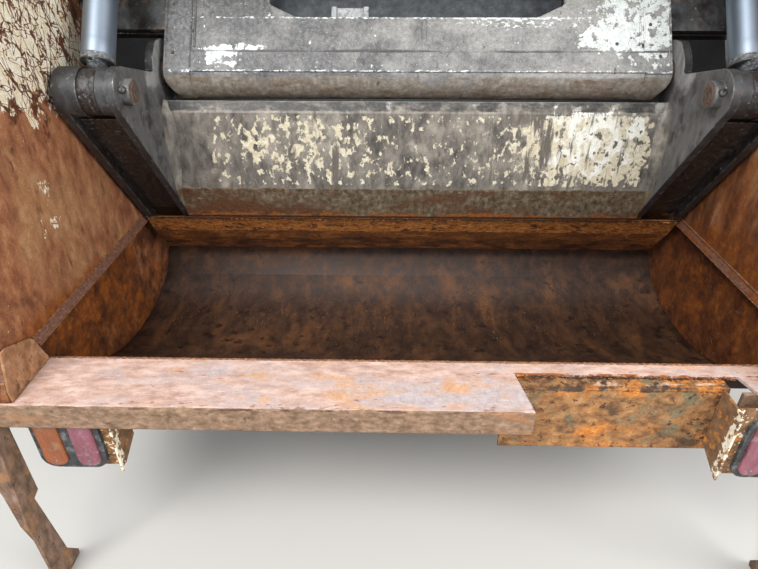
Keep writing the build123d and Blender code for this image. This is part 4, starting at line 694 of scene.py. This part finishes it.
NODE_FINISH: dict[str, Finish] = {
    "side_wall": SCOURED_SHEET, "wall_ribs": CHALKY_ENAMEL, "hopper_floor": FLOOR_PAN, "floor_ribs": FLOOR_PAN,
    "sill_plate": SILL_TOP, "rear_panel": ORANGE_SCALE, "roof": CHALKY_ENAMEL, "hood": CHALKY_ENAMEL,
    "front_header": CHALKY_ENAMEL, "hinge_ears": DUSTY_PLATE, "latch_lugs": DUSTY_PLATE,
    "track": RAIL_BAR, "slide_barrel": BARREL_ENAMEL, "slide_rod": HARD_CHROME, "guide_shoes": DUSTY_PLATE,
    "slide_panel": SLIDE_SKIN, "carriage_frame": DUSTY_PLATE, "blade_shell": BLADE_FACE, "blade_arm": GREASED_PLATE,
    "wear_lip": WEAR_LIP, "hinge_pin": RAIL_BAR, "lug_pin": PIN_END, "sweep_barrel": BARREL_ENAMEL,
    "sweep_rod": HARD_CHROME, "lamp_bracket": FLAKING_BRACKET, "lamp_gasket": MOULDED_RUBBER,
    "amber_lens": AMBER_LENS, "red_lens": RED_LENS, "step_hanger": HANGER_BAR,
}


# ---- Meshes ----

CHAMFER = 0.0015
BEAD_STEP = 0.005


@dataclass
class Piece:
    """A mesh of the scene that grows by simple forms, and then rides on a body."""

    name: str
    body: str
    finish: Finish
    slot: str
    smooth: bool = True
    crease: float = math.radians(40)
    mesh: bmesh.types.BMesh = field(default_factory=bmesh.new)

    def sweep(self, sections: Sequence[Sequence[Vector]]) -> None:
        """Adds a closed form through sections, which are loops with the same number of points."""
        rings = [[self.mesh.verts.new(point) for point in section] for section in sections]
        for first, second in zip(rings, rings[1:]):
            for corner in range(len(first)):
                after = (corner + 1) % len(first)
                self.mesh.faces.new((first[corner], first[after], second[after], second[corner]))
        self.mesh.faces.new(rings[0][::-1])
        self.mesh.faces.new(rings[-1])

    def tube(self, path: Sequence[Vector], radius: Callable[[float], float], sides: int = 8) -> None:
        """Adds a closed tube.

        Args:
            path: Points of its middle line.
            radius: Radius in metres by the distance along the path.
            sides: Corners of its section.
        """
        rings = []
        run = 0.0
        side = None
        for index, point in enumerate(path):
            ahead = path[min(index + 1, len(path) - 1)] - path[max(index - 1, 0)]
            ahead.normalize()
            if side is None:
                side = ahead.orthogonal().normalized()
            side = (side - ahead * side.dot(ahead)).normalized()
            up = ahead.cross(side)
            if index:
                run += (point - path[index - 1]).length
            size = radius(run)
            rings.append([point + side * math.cos(t) * size + up * math.sin(t) * size for t in circle(sides)])
        self.sweep(rings)

    def turned(self, base: Vector, axis: Vector, profile: Sequence[tuple[float, float]], sides: int = 24) -> None:
        """Adds a turned form.

        Args:
            base: Point on its axis, in the row frame.
            axis: Direction of the axis.
            profile: (distance along the axis, radius) pairs in metres.
            sides: Corners of its section.
        """
        spin = axis.normalized().to_track_quat("Z", "Y").to_matrix()
        self.sweep([[base + spin @ Vector((size * math.cos(t), size * math.sin(t), height)) for t in circle(sides)]
                    for height, size in profile])

    def bolt(self, base: Vector, axis: Vector, size: float, washer: bool = True) -> None:
        """Adds a hexagon head with a chamfered top, on a washer or bare; size is the thread in metres."""
        foot, head = 0.0, size * 0.92
        if washer:
            foot = size * 0.15
            self.turned(base, axis, [(-size * 0.1, size * 1.05), (size * 0.12, size * 1.05), (foot, size * 0.95)], 20)
        self.turned(base, axis, [(foot, head), (foot + size * 0.52, head), (foot + size * 0.64, head * 0.82)], 6)

    def rivet(self, base: Vector, axis: Vector, size: float) -> None:
        """Adds a low round head; size is its radius in metres."""
        steps = [(size * 0.5 * math.sin(a), size * math.cos(a)) for a in (0.0, 0.4, 0.8, 1.2, 1.5)]
        self.turned(base, axis, [(-size * 0.2, size)] + steps, 12)

    def plate(self, outline: Sequence[Vector], thick: Vector) -> None:
        """Adds a flat plate from its outline and its thickness as a vector, its outer edge chamfered."""
        middle = sum(outline, Vector()) / len(outline)
        inset = [point.lerp(middle, CHAMFER / max(0.002, (point - middle).length)) for point in outline]
        self.sweep([list(outline), [p + thick * 0.8 for p in outline], [p + thick for p in inset]])

    def bead(self, points: Sequence[Vector], size: float, seed: int) -> None:
        """Adds a rippled weld bead along straight runs between points; size is its radius in metres."""
        chance = random.Random(seed)
        path = []
        for start, end in zip(points, points[1:]):
            count = max(2, int((end - start).length / BEAD_STEP))
            path += [start.lerp(end, i / count) for i in range(count)]
        path.append(points[-1])
        shake = [chance.uniform(0.85, 1.15) for _ in range(64)]
        self.tube(path, lambda run: size * shake[int(run * 90) % 64] * (1 + 0.12 * math.sin(run * 900)), 6)

    def flakes(self, start: Vector, end: Vector, out: Vector, down: Vector, reach_mm: tuple[float, float],
               seed: int) -> None:
        """Adds torn scales of rust along an edge.

        Args:
            start: One end of the edge.
            end: Its other end.
            out: Direction in which the scales stand out.
            down: Direction in which their tips curl.
            reach_mm: Least and most that one stands out.
            seed: Seed of its chances.
        """
        chance = random.Random(seed)
        along = (end - start).normalized()
        length = (end - start).length
        at = 0.0
        while at < length - 0.006:
            wide = min(chance.uniform(0.005, 0.022), length - at)
            reach = chance.uniform(*reach_mm) / 1000.0
            curl = reach * chance.uniform(0.1, 0.5)
            foot = start + along * at
            tip = [foot + along * wide * share + out * reach * chance.uniform(0.5, 1.0) + down * curl
                   for share in (0.85, 0.5, 0.15)]
            top = [foot - out * 0.003, foot + along * wide - out * 0.003] + tip
            self.sweep([top, [p + down * 0.0016 for p in top]])
            at += wide * chance.uniform(0.75, 1.15)

    def place(self) -> None:
        """Turns the forms into an object that rides on its body and takes its finish."""
        bmesh.ops.recalc_face_normals(self.mesh, faces=self.mesh.faces)
        data = bpy.data.meshes.new(self.name)
        self.mesh.to_mesh(data)
        self.mesh.free()
        data.materials.append(self.finish.material())
        made = bpy.data.objects.new(self.name, data)
        bpy.context.scene.collection.objects.link(made)
        if self.smooth:
            data.shade_smooth()
            made.modifiers.new("creases", "EDGE_SPLIT").split_angle = self.crease
        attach(made, self.body)
        LOG.info("%s: %d faces on %s", self.name, len(data.polygons), self.body)


@dataclass
class Hull:
    """Side walls and roof: their welds, and the small plates over the sill's ends.

    rear_foot is the Y and Z where the slanted rear edge starts, and rear_lean its angle off upright.
    """

    inner: float = 1016.0
    crest: float = 88.0
    lip: float = 10.0
    front_end: float = 1400.0
    hood_z: float = 1250.0
    roof_z: float = 2080.0
    front_y: float = 1660.0
    rear_foot: tuple[float, float] = (-155.0, 139.0)
    rear_lean: float = math.radians(30.0)
    ear_y: float = 1496.0
    ear_x: float = 600.0
    ear_half: float = 44.0
    gusset: tuple[tuple[float, float], ...] = (
        (-179, 3), (-180, 34), (-156, 132), (-136, 134), (-48, 98), (-36, 84), (-6, 3))

    def rear(self, z: float) -> float:
        """Y of the slanted rear edge at a height."""
        return self.rear_foot[0] + (z - self.rear_foot[1]) * math.tan(self.rear_lean)

    def inside_welds(self) -> None:
        """Adds the welds of the ridges and of the sill's ends."""
        welds = Piece("hopper_welds", "tailgate", RUSTY_WELD, "rusty_sheet")
        for index, (_, side) in enumerate(SIDES):
            x, low = side * (self.inner - 1), side * (self.inner - self.lip)
            welds.bead([row(x, -180, 1), row(x, -6, 1)], 0.005, 11 + index)
            welds.bead([row(x, -32, self.crest), row(x, self.front_end, self.crest)], 0.0035, 21 + index)
            welds.bead([row(low, -24, 61), row(low, self.front_end, 61)], 0.0022, 25 + index)
        welds.place()

    def corner_plates(self) -> None:
        """Adds the small plates over the sill's ends, welded to the walls inside."""
        plates = Piece("corner_plates", "tailgate", RUSTED_GUSSET, "rusty_plate")
        for _, side in SIDES:
            plates.plate([row(side * self.inner, y, z) for y, z in self.gusset], Vector((-side * 0.006, 0, 0)))
            plates.bead([row(side * (self.inner - 3), y, z) for y, z in self.gusset[2:]], 0.0035, 61)
        plates.place()

    def outside_welds(self) -> None:
        """Adds the seams of the roof and the hood, and the welds of the ears."""
        seams = Piece("hull_seams", "tailgate", RUSTY_WELD, "rusty_sheet")
        foot, top = self.hood_z + 4, self.roof_z
        for index, (_, side) in enumerate(SIDES):
            x = side * (self.inner - 1)
            corners = ((self.rear(foot), foot), (self.rear(top) + 1, top - 1), (self.front_y - 4, top - 1))
            seams.bead([row(x, y, z) for y, z in corners], 0.004, 71 + index)
            for ear in (side * self.ear_x - self.ear_half, side * self.ear_x + self.ear_half):
                seams.bead([row(ear, self.ear_y, top), row(ear, self.front_y - 6, top)], 0.005, 81 + index)
        seams.place()

    def build(self) -> None:
        """Builds the hull's pieces in order."""
        self.inside_welds()
        self.corner_plates()
        self.outside_welds()


@dataclass
class Sill:
    """Sill plate, its cut-out and the panel behind it."""

    half: float = 1012.0
    notch: tuple[float, float] = (257.0, 845.0)
    strip_y: float = -46.0
    panel_y: float = -84.0

    def torn_edge(self) -> None:
        """Adds the torn rust scales along the strip over the cut-out and on the panel's ledge."""
        flakes = Piece("sill_flakes", "tailgate", ORANGE_SCALE, "orange_rust", smooth=False)
        left, right = self.notch
        for start, end, reach_mm, seed in (
                ((left + 3, self.strip_y, -1), (right - 3, self.strip_y, -1), (2.0, 7.0), 5),
                ((left + 3, self.strip_y, -6), (right - 3, self.strip_y, -6), (1.0, 10.0), 6),
                ((left - 20, self.panel_y, -19), (right - 40, self.panel_y, -19), (0.5, 3.0), 7)):
            flakes.flakes(row(*start), row(*end), BACK, DOWN, reach_mm, seed)
        flakes.place()

    def seams(self) -> None:
        """Adds the weld that holds the sill to the floor and its flange to the hanging panel."""
        welds = Piece("sill_welds", "tailgate", RUSTY_WELD, "rusty_plate")
        welds.bead([row(-self.half, 1, -1), row(self.half, 1, -1)], 0.004, 91)
        welds.bead([row(self.notch[0] + x, self.panel_y + 2, -12) for x in (-24, 2)], 0.004, 92)
        welds.place()

    def build(self) -> None:
        """Builds the sill's pieces in order."""
        self.torn_edge()
        self.seams()


@dataclass
class Blade:
    """Packer blade with its arms, lugs and lip.

    web_start and web_spare say where the grease on the webs begins and how much of their length it
    leaves bare. cove gives Y, Z and reach along the face's hollow ends.
    """

    plate_in: float = 825.0
    plate_out: float = 1000.0
    boss: float = 37.0
    lip_top: tuple[float, float] = (734.0, 89.0)
    web: tuple[float, float] = (851.5, 973.5)
    web_radius: float = 68.0
    web_steps: tuple[int, int] = (60, 16)
    web_start: float = 86.0
    web_spare: float = 110.0
    web_depth: float = 28.0
    cove: tuple[Point, ...] = (
        (688.0, 530.0, 10.0), (677.0, 512.0, 18.0), (666.0, 496.0, 25.0), (664.0, 455.0, 30.0), (661.5, 400.0, 32.0),
        (658.5, 340.0, 29.0), (656.0, 285.0, 23.0), (654.0, 235.0, 15.0), (672.0, 190.0, 8.0), (690.0, 147.0, 3.0))
    round_head: tuple[tuple[float, float], ...] = (
        (-0.004, 0.0105), (0.003, 0.0105), (0.0065, 0.0098), (0.0085, 0.0078), (0.009, 0.0055), (0.0065, 0.0045),
        (0.0065, 0.001))
    pin_ring: tuple[tuple[float, float], ...] = (
        (-0.001, 0.0295), (0.0010, 0.0292), (0.0012, 0.0262), (-0.001, 0.0260))

    def coves(self) -> None:
        """Adds the smooth hollow strips that carry the face over into the arms' inner plates."""
        strips = Piece("blade_coves", "blade", BLADE_COVE, "grey_worn_paint")
        quarter = [math.pi / 2 * step / 12 for step in range(13)]
        for _, side in SIDES:
            sections = []
            for index, (y, z, reach) in enumerate(self.cove):
                before, after = self.cove[max(index - 1, 0)], self.cove[min(index + 1, len(self.cove) - 1)]
                run = Vector((0.0, after[0] - before[0], after[1] - before[1])).normalized()
                off = Vector((0.0, run.z, -run.y))
                corner = Vector((side * self.plate_in, y, z))
                points = [corner + RIGHT * side * 2 - off * 2]
                points += [corner - RIGHT * side * reach * (1 - math.cos(turn)) + off * reach * (1 - math.sin(turn))
                           for turn in quarter]
                sections.append([row(*point) for point in points])
            strips.sweep(sections)
        strips.place()

    def keepers(self) -> None:
        """Adds the round headed bolt that locks each lug pin, and the groove ring round the pin's end."""
        bolts = Piece("lug_keepers", "blade", DUSTY_PLATE, "track_steel")
        rings = Piece("pin_rings", "blade", RUSTY_WELD, "track_steel")
        turn = math.radians(158)
        out = Vector((0.0, math.cos(turn), math.sin(turn)))
        for _, side in SIDES:
            base = row(side * (self.plate_in - 11), EYE[0] + self.boss * out.y, EYE[1] + self.boss * out.z)
            bolts.turned(base, out, self.round_head, 20)
            rings.turned(row(side * (self.plate_in - 28), *EYE), LEFT * side, self.pin_ring, 40)
        bolts.place()
        rings.place()

    def lip_scale(self) -> None:
        """Adds the weld over the lip and the scales of orange rust along it."""
        y, z = self.lip_top
        seam = Piece("lip_weld", "blade", RUSTY_WELD, "orange_rust")
        seam.bead([row(x, y - 2, z + 2) for x in (4 - self.plate_in, self.plate_in - 4)], 0.0045, 51)
        seam.place()
        scale = Piece("lip_flakes", "blade", ORANGE_SCALE, "orange_rust", smooth=False)
        out, down, under = Vector((0.0, -0.62, 0.78)), Vector((0.0, -0.79, -0.61)), Vector((0.0, 0.6, -0.8))
        end = self.plate_out - 2
        scale.flakes(row(-end, y - 1, z - 1), row(end, y - 1, z - 1), out, down, (2.0, 8.0), 52)
        scale.flakes(row(-end, y, z - 6), row(end, y, z - 6), down, under, (1.0, 6.0), 53)
        scale.place()

    def channel_grease(self) -> None:
        """Adds the wrinkled grease on the webs between the arm plates."""
        grease = Piece("channel_grease", "blade", OLD_GREASE, "greasy_steel")
        turn = math.atan2(self.lip_top[1] - EYE[1], self.lip_top[0] - EYE[0]) - math.radians(93)
        start = Vector((0.0, EYE[0] + self.web_radius * math.cos(turn), EYE[1] + self.web_radius * math.sin(turn)))
        run = Vector((0.0, *self.lip_top)) - start
        along = run.normalized()
        inward = Vector((0.0, -along.z, along.y))
        low, high = self.web
        steps, strips = self.web_steps
        half = strips / 2
        for _, side in SIDES:
            sections = []
            for step in range(steps + 1):
                at = self.web_start + (run.length - self.web_spare) * step / steps
                points = []
                for across in range(strips + 1):
                    x = low + (high - low) * across / strips
                    spot = Vector((side * x * 0.03, at * 0.022, 3.0))
                    fold = abs(noise.noise(spot)) * 7 + noise.noise(spot * 4.1) * 1.6
                    edge = abs(across - half) / half
                    fade = max(0.0, min(1.0, (1 - edge) * 3 + 0.35)) * (1.0 if 0 < step < steps else 0.0)
                    rise = (1.2 + fold + 3.0 * edge ** 4) * fade
                    points.append(start + along * at + inward * (self.web_depth - rise) + RIGHT * side * x)
                points += [start + along * at + inward * (self.web_depth + 0.6) + RIGHT * side * x for x in (high, low)]
                sections.append([row(*point) for point in points])
            grease.sweep(sections)
        grease.place()

    def build(self) -> None:
        """Builds the blade's pieces in order."""
        self.coves()
        self.keepers()
        self.lip_scale()
        self.channel_grease()


@dataclass
class Carriage:
    """Sliding panel with its pressed beads and screws, its head and its shoes."""

    half: float = 803.0
    strip: float = 84.0
    face: float = 71.0
    bead_end: int = 870
    tab_height: tuple[float, float] = (150.0, 186.0)
    tab_folds: tuple[Point, ...] = ((-271.0, -255.0, 66.0), (-255.0, -168.0, 58.0), (-168.0, -152.0, 66.0))
    pad: tuple[tuple[float, float], ...] = ((808, 24), (808, 50), (1002, 50), (1002, 24))
    shoe_spots: tuple[float, float] = (180.0, 650.0)
    shoe_half: float = 74.5
    shoe_bolts: tuple[float, float] = (850.0, 960.0)
    shoe_face: float = 70.5
    keeper_x: float = 955.5
    keeper: tuple[tuple[float, float], ...] = ((-0.046, -0.012), (0.046, -0.012), (0.046, 0.012), (-0.046, 0.012))
    keeper_thick: float = 0.008
    anchor_height: float = 1060.0
    anchor_off: float = 30.0
    screws: tuple[tuple[float, float], ...] = (
        (-774, 28), (-709, 101), (632, 62), (713, 56), (737, 124), (765, 20), (-774, 190), (-709, 300),
        (737, 300), (-774, 420), (765, 420), (-560, 300), (560, 300))

    def beads(self) -> None:
        """Adds the pressed beads down both edge strips and the folds of the lap."""
        lines = Piece("panel_beads", "carriage", SLIDE_SKIN, "grey_worn_paint")
        for _, side in SIDES:
            seam = side * (self.half - self.strip)
            for x, low, proud, size in ((seam, -20, 1.2, 0.0032), (seam - side * 13, 48, 1.2, 0.0032),
                                        (side * (self.half - 9), -10, 2.6, 0.0026)):
                path = [track(x, along, self.face + proud) for along in range(low, self.bead_end, 20)]
                lines.tube(path, lambda _, size=size: size)
        lines.place()

    def tab(self) -> None:
        """Adds the bent bracket that stands behind the lower edge of the window."""
        bracket = Piece("window_tab", "carriage", FADED_BRACKET, "grey_worn_paint")
        low, high = self.tab_height
        for left, right, depth in self.tab_folds:
            corners = ((left, low), (right, low), (right, high), (left, high))
            bracket.plate([track(x, along, depth) for x, along in corners], -OUTWARD * 0.005)
        bracket.place()

    def fasteners(self) -> None:
        """Adds the small screws of the panel."""
        heads = Piece("panel_screws", "carriage", DUSTY_PLATE, "greasy_steel")
        for x, along in self.screws:
            proud = 3.0 if abs(x) > self.half - self.strip else 0.0
            heads.rivet(track(x, along, self.face + proud), OUTWARD, 0.0058)
        heads.place()

    def shoes(self) -> None:
        """Adds the dark wear pad under each shoe arm and the bolts that hold the upper ones."""
        pads = Piece("shoe_pads", "carriage", OLD_GREASE, "greasy_steel")
        heads = Piece("shoe_bolts", "carriage", DULL_ZINC, "greasy_steel")
        for _, side in SIDES:
            for along in self.shoe_spots:
                corners = [track(side * x, along - self.shoe_half, off) for x, off in self.pad]
                pads.plate(corners, -SLIDE_WAY * 0.004)
            for x in self.shoe_bolts:
                heads.bolt(track(side * x, self.shoe_spots[1], self.shoe_face), OUTWARD, 0.012)
        pads.place()
        heads.place()

    def anchors(self) -> None:
        """Adds the keeper plates on the anchor pins, each with two bolts."""
        plates = Piece("anchor_keepers", "carriage", DUSTY_PLATE, "greasy_steel")
        heads = Piece("anchor_bolts", "carriage", DULL_ZINC, "greasy_steel")
        y, z = (EYE[i] + self.anchor_height * ALONG[i] - self.anchor_off * OFF[i] for i in (0, 1))
        for _, side in SIDES:
            out = RIGHT * side
            middle = row(side * self.keeper_x, y, z)
            corners = [middle + SLIDE_WAY * a + OUTWARD * b for a, b in self.keeper]
            plates.plate(corners, out * self.keeper_thick)
            for a in (-0.032, 0.032):
                heads.bolt(middle + SLIDE_WAY * a + out * self.keeper_thick, out, 0.010)
        plates.place()
        heads.place()

    def build(self) -> None:
        """Builds the carriage's pieces in order."""
        self.beads()
        self.tab()
        self.fasteners()
        self.shoes()
        self.anchors()


@dataclass
class Cylinders:
    """Sweep cylinders with their rods' ends, and the fittings of all four cylinders.

    unions are the sweep barrel's unions' distances from its anchor, and gland its gland's distance
    and bolt circle. sleeve is the profile of the rod's full width end. neck gives the height, half
    width and half depth of each ring of grease below it.
    """

    centre: float = 906.0
    length: float = 1060.0
    neck_half: float = 22.4
    neck_top: float = 82.0
    eye_radius: float = 60.0
    pipe_off: float = 128.0
    unions: tuple[float, float] = (505.0, 138.0)
    gland: tuple[float, float] = (600.0, 69.0)
    slide_x: float = 1158.0
    slide_off: float = 114.0
    slide_unions: tuple[float, float] = (-410.0, 240.0)
    sleeve: tuple[tuple[float, float], ...] = (
        (0, 0.030), (0.0002, 0.0446), (0.0012, 0.0452), (0.058, 0.0452), (0.062, 0.0449))
    neck: tuple[Point, ...] = (
        (58, 18, 24), (60, 22, 30), (63, 21, 34), (66, 22.4, 37), (68.5, 20.5, 35), (71, 22.4, 40), (74, 21, 38),
        (77, 22.4, 43), (79.5, 21.5, 42), (82, 22.4, 45), (83.5, 40, 45.4), (85.5, 46.2, 46.6), (88, 45.4, 45.5),
        (91, 46.1, 46.3), (94, 45.3, 45.3), (97.5, 45.9, 46.0), (101, 44.9, 44.9))

    def at(self, side: float, height: float, off: float, across: float = 0.0) -> Vector:
        """Point by its height over the rod's eye along the rod, off it to the rear and across."""
        y, z = (EYE[i] + height * ALONG[i] + off * OFF[i] for i in (0, 1))
        return row(side * self.centre + across, y, z)

    def rod_ends(self) -> None:
        """Adds the full width end of each rod, the grease on its neck and the dirt on its eye."""
        for name, side in SIDES:
            body = f"sweep_rod_{name}_body"
            sleeve = Piece(f"rod_end_{name}", body, HARD_CHROME, "chrome_rod")
            sleeve.turned(self.at(side, self.neck_top + 1, 0), SLIDE_WAY, self.sleeve, 64)
            sleeve.place()
            grease = Piece(f"rod_grease_{name}", body, NECK_GREASE, "greasy_steel")
            grease.sweep([self.neck_ring(side, *ring) for ring in self.neck])
            grease.place()
            skin = Piece(f"eye_grease_{name}", body, OLD_GREASE, "greasy_steel")
            skin.sweep(self.eye_skin(side))
            skin.place()

    def neck_ring(self, side: float, height: float, wide: float, deep: float) -> list[Vector]:
        """Gives one wrinkled ring of the neck's grease, kept narrow where it passes between the lugs.

        Args:
            side: -1 at the left and 1 at the right.
            height: Height over the rod's eye.
            wide: Half width across.
            deep: Half depth.

        Returns:
            Its points.
        """
        ring = []
        between = height <= self.neck_top
        limit = self.neck_half + 0.2
        for turn in circle(48):
            spot = Vector((math.cos(turn) * 1.7, math.sin(turn) * 1.7, height * 0.16 + side))
            rough = 1 + 0.10 * noise.noise(spot * 1.9) * (1 if between else 0.25)
            jog = 2.4 * noise.noise(spot + Vector((5, 1, 2))) if height > 60 else 0.0
            across = wide * math.cos(turn)
            if between:
                across = max(-limit, min(limit, across * rough))
            ring.append(self.at(side, height + jog, deep * math.sin(turn) * rough, across))
        return ring

    def eye_skin(self, side: float) -> list[list[Vector]]:
        """Gives the sections of a wrinkled skin of grease round the back of the rod's eye."""
        sections = []
        half = self.neck_half
        for step in range(41):
            turn = math.radians(95 + 190 * step / 40)
            out = (math.cos(turn), math.sin(turn))
            ends = 1.0 if 0 < step < 40 else 0.0
            edge = []
            for across in range(13):
                x = half * (across / 6 - 1)
                spot = Vector((x * 0.10, turn * 5.5, side * 2.0))
                fold = 0.8 + abs(noise.noise(spot)) * 4.2 + noise.noise(spot * 3.3) * 0.9
                edge.append((x, self.eye_radius + 1.6 + ends * fold * (1 - 0.6 * (abs(x) / half) ** 6)))
            edge += [(half, self.eye_radius), (-half, self.eye_radius)]
            sections.append([row(side * self.centre + x, EYE[0] + rise * out[0], EYE[1] + rise * out[1])
                             for x, rise in edge])
        return sections

    def sweep_fittings(self) -> None:
        """Adds the unions and the steel pipe on each sweep barrel, and its gland's bolts."""
        low, high = (self.length - far for far in self.unions)
        for name, side in SIDES:
            body = f"sweep_barrel_{name}_body"
            fittings = Piece(f"sweep_fittings_{name}", body, DULL_ZINC, "barrel_paint")
            for height in (low, high):
                hexagon, stub = self.at(side, height, 96), self.at(side, height, 106)
                fittings.turned(hexagon, OUTWARD, [(-0.004, 0.017), (0.010, 0.017), (0.012, 0.015)], 6)
                fittings.turned(stub, OUTWARD, [(0.0, 0.011), (0.010, 0.011)], 16)
            for corner in circle(8):
                turn = corner + 0.2
                far, reach = self.gland
                spot = self.at(side, self.length - far, reach * math.sin(turn), reach * math.cos(turn))
                fittings.bolt(spot, -SLIDE_WAY, 0.009, washer=False)
            fittings.place()
            pipe = Piece(f"sweep_pipe_{name}", body, RAIL_BAR, "barrel_paint")
            bend = ((0, 112), (0, 118), (6, 125), (18, self.pipe_off))
            path = [self.at(side, low + ahead, off) for ahead, off in bend]
            steps = int((high - low - 60) / 20) + 1
            path += [self.at(side, low + 30 + step * 20, self.pipe_off) for step in range(steps)]
            path += [self.at(side, high - ahead, off) for ahead, off in bend[::-1]]
            pipe.tube(path, lambda _: 0.008, 12)
            pipe.place()

    def slide_fittings(self) -> None:
        """Adds the unions on the slide barrels outside the walls."""
        fittings = Piece("slide_fittings", "tailgate", DULL_ZINC, "barrel_paint")
        for _, side in SIDES:
            for along in self.slide_unions:
                base = track(side * self.slide_x, along, self.slide_off)
                fittings.turned(base, OUTWARD, [(-0.004, 0.016), (0.012, 0.016), (0.014, 0.014)], 6)
                fittings.turned(base + OUTWARD * 0.014, OUTWARD, [(0.0, 0.010), (0.012, 0.010), (0.013, 0.009)], 16)
        fittings.place()

    def build(self) -> None:
        """Builds the cylinders' pieces in order."""
        self.rod_ends()
        self.sweep_fittings()
        self.slide_fittings()


@dataclass
class Lamps:
    """Tail lamps: the screws of their lenses."""

    lenses: tuple[float, float] = (877.0, 966.0)
    heights: tuple[float, float] = (-210.0, -66.0)
    face: float = -178.0

    def build(self) -> None:
        """Adds two screws to each lens."""
        screws = Piece("lens_screws", "tailgate", DULL_ZINC, "lamp_rubber")
        for _, side in SIDES:
            for x in self.lenses:
                for z in self.heights:
                    screws.rivet(row(side * x, self.face, z), BACK, 0.0042)
        screws.place()


@dataclass
class Studio:
    """Camera, floor and lights. Each lamp has a name, a place, the point that it faces, its watts and its width."""

    camera: Point = (-0.0804, -2.8342, -1.1605)
    yaw: float = math.radians(-1.107)
    pitch: float = math.radians(31.47)
    lens: float = 26.97
    floor_half: float = 14.0
    sky: float = 0.78
    lamps: tuple[tuple[str, Point, Point, float, float], ...] = (
        ("key", (-2.2, -5.2, 3.0), (0, -0.9, -1.8), 420.0, 3.2),
        ("fill", (3.6, -4.0, 0.6), (0, -0.9, -1.6), 185.0, 3.0),
        ("rim", (0.0, 3.6, 4.6), (0, -0.2, 0.0), 160.0, 3.0))

    def view(self) -> None:
        """Adds the camera at the photo's angle."""
        scene = bpy.context.scene
        scene.view_settings.view_transform = "Standard"
        data = bpy.data.cameras.new("photo_camera")
        data.lens = self.lens
        data.sensor_width = 36.0
        data.sensor_fit = "HORIZONTAL"
        data.clip_start = 0.02
        eye = bpy.data.objects.new("photo_camera", data)
        level = math.cos(self.pitch)
        ahead = Vector((math.sin(self.yaw) * level, math.cos(self.yaw) * level, -math.sin(self.pitch)))
        eye.location = self.camera
        eye.rotation_euler = ahead.to_track_quat("-Z", "Y").to_euler()
        scene.collection.objects.link(eye)
        scene.camera = eye

    def floor(self) -> None:
        """Adds a plain pale floor under the tailgate."""
        low, size = CAD_BOX[0][2] - 0.002, self.floor_half
        mesh = bpy.data.meshes.new("floor")
        corners = [(-size, -size, low), (size, -size, low), (size, size, low), (-size, size, low)]
        mesh.from_pydata(corners, [], [(0, 1, 2, 3)])
        floor = bpy.data.objects.new("floor", mesh)
        paint = bpy.data.materials.new("floor_paint")
        paint.use_nodes = True
        shader = paint.node_tree.nodes["Principled BSDF"]
        shader.inputs["Base Color"].default_value = linear("#c9c6c0")
        shader.inputs["Roughness"].default_value = 0.9
        mesh.materials.append(paint)
        bpy.context.scene.collection.objects.link(floor)

    def lights(self) -> None:
        """Adds a pale sky and three soft lamps."""
        world = bpy.data.worlds.new("studio")
        world.use_nodes = True
        sky = world.node_tree.nodes["Background"]
        sky.inputs[0].default_value = linear("#dfe6ee")
        sky.inputs[1].default_value = self.sky
        bpy.context.scene.world = world
        for name, place, aim, watts, wide in self.lamps:
            lamp = bpy.data.lights.new(name, "AREA")
            lamp.energy = watts
            lamp.size = wide
            thing = bpy.data.objects.new(name, lamp)
            thing.location = place
            thing.rotation_euler = (Vector(aim) - Vector(place)).to_track_quat("-Z", "Y").to_euler()
            bpy.context.scene.collection.objects.link(thing)

    def build(self) -> None:
        """Builds the stage round the tailgate."""
        self.view()
        self.floor()
        self.lights()


def dress_nodes() -> None:
    """Gives every CAD node its finish."""
    for name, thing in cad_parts.items():
        material = NODE_FINISH[name.removesuffix("_left").removesuffix("_right")].material()
        thing.data.materials.clear()
        thing.data.materials.append(material)
        LOG.info("%s: %s", name, material.name)


def main() -> None:
    """Builds the pieces in order."""
    logging.basicConfig(level=logging.INFO, format="%(name)s %(message)s")
    Studio().build()
    dress_nodes()
    for part in (Hull(), Sill(), Blade(), Carriage(), Cylinders(), Lamps()):
        part.build()


if __name__ == "__main__":
    main()
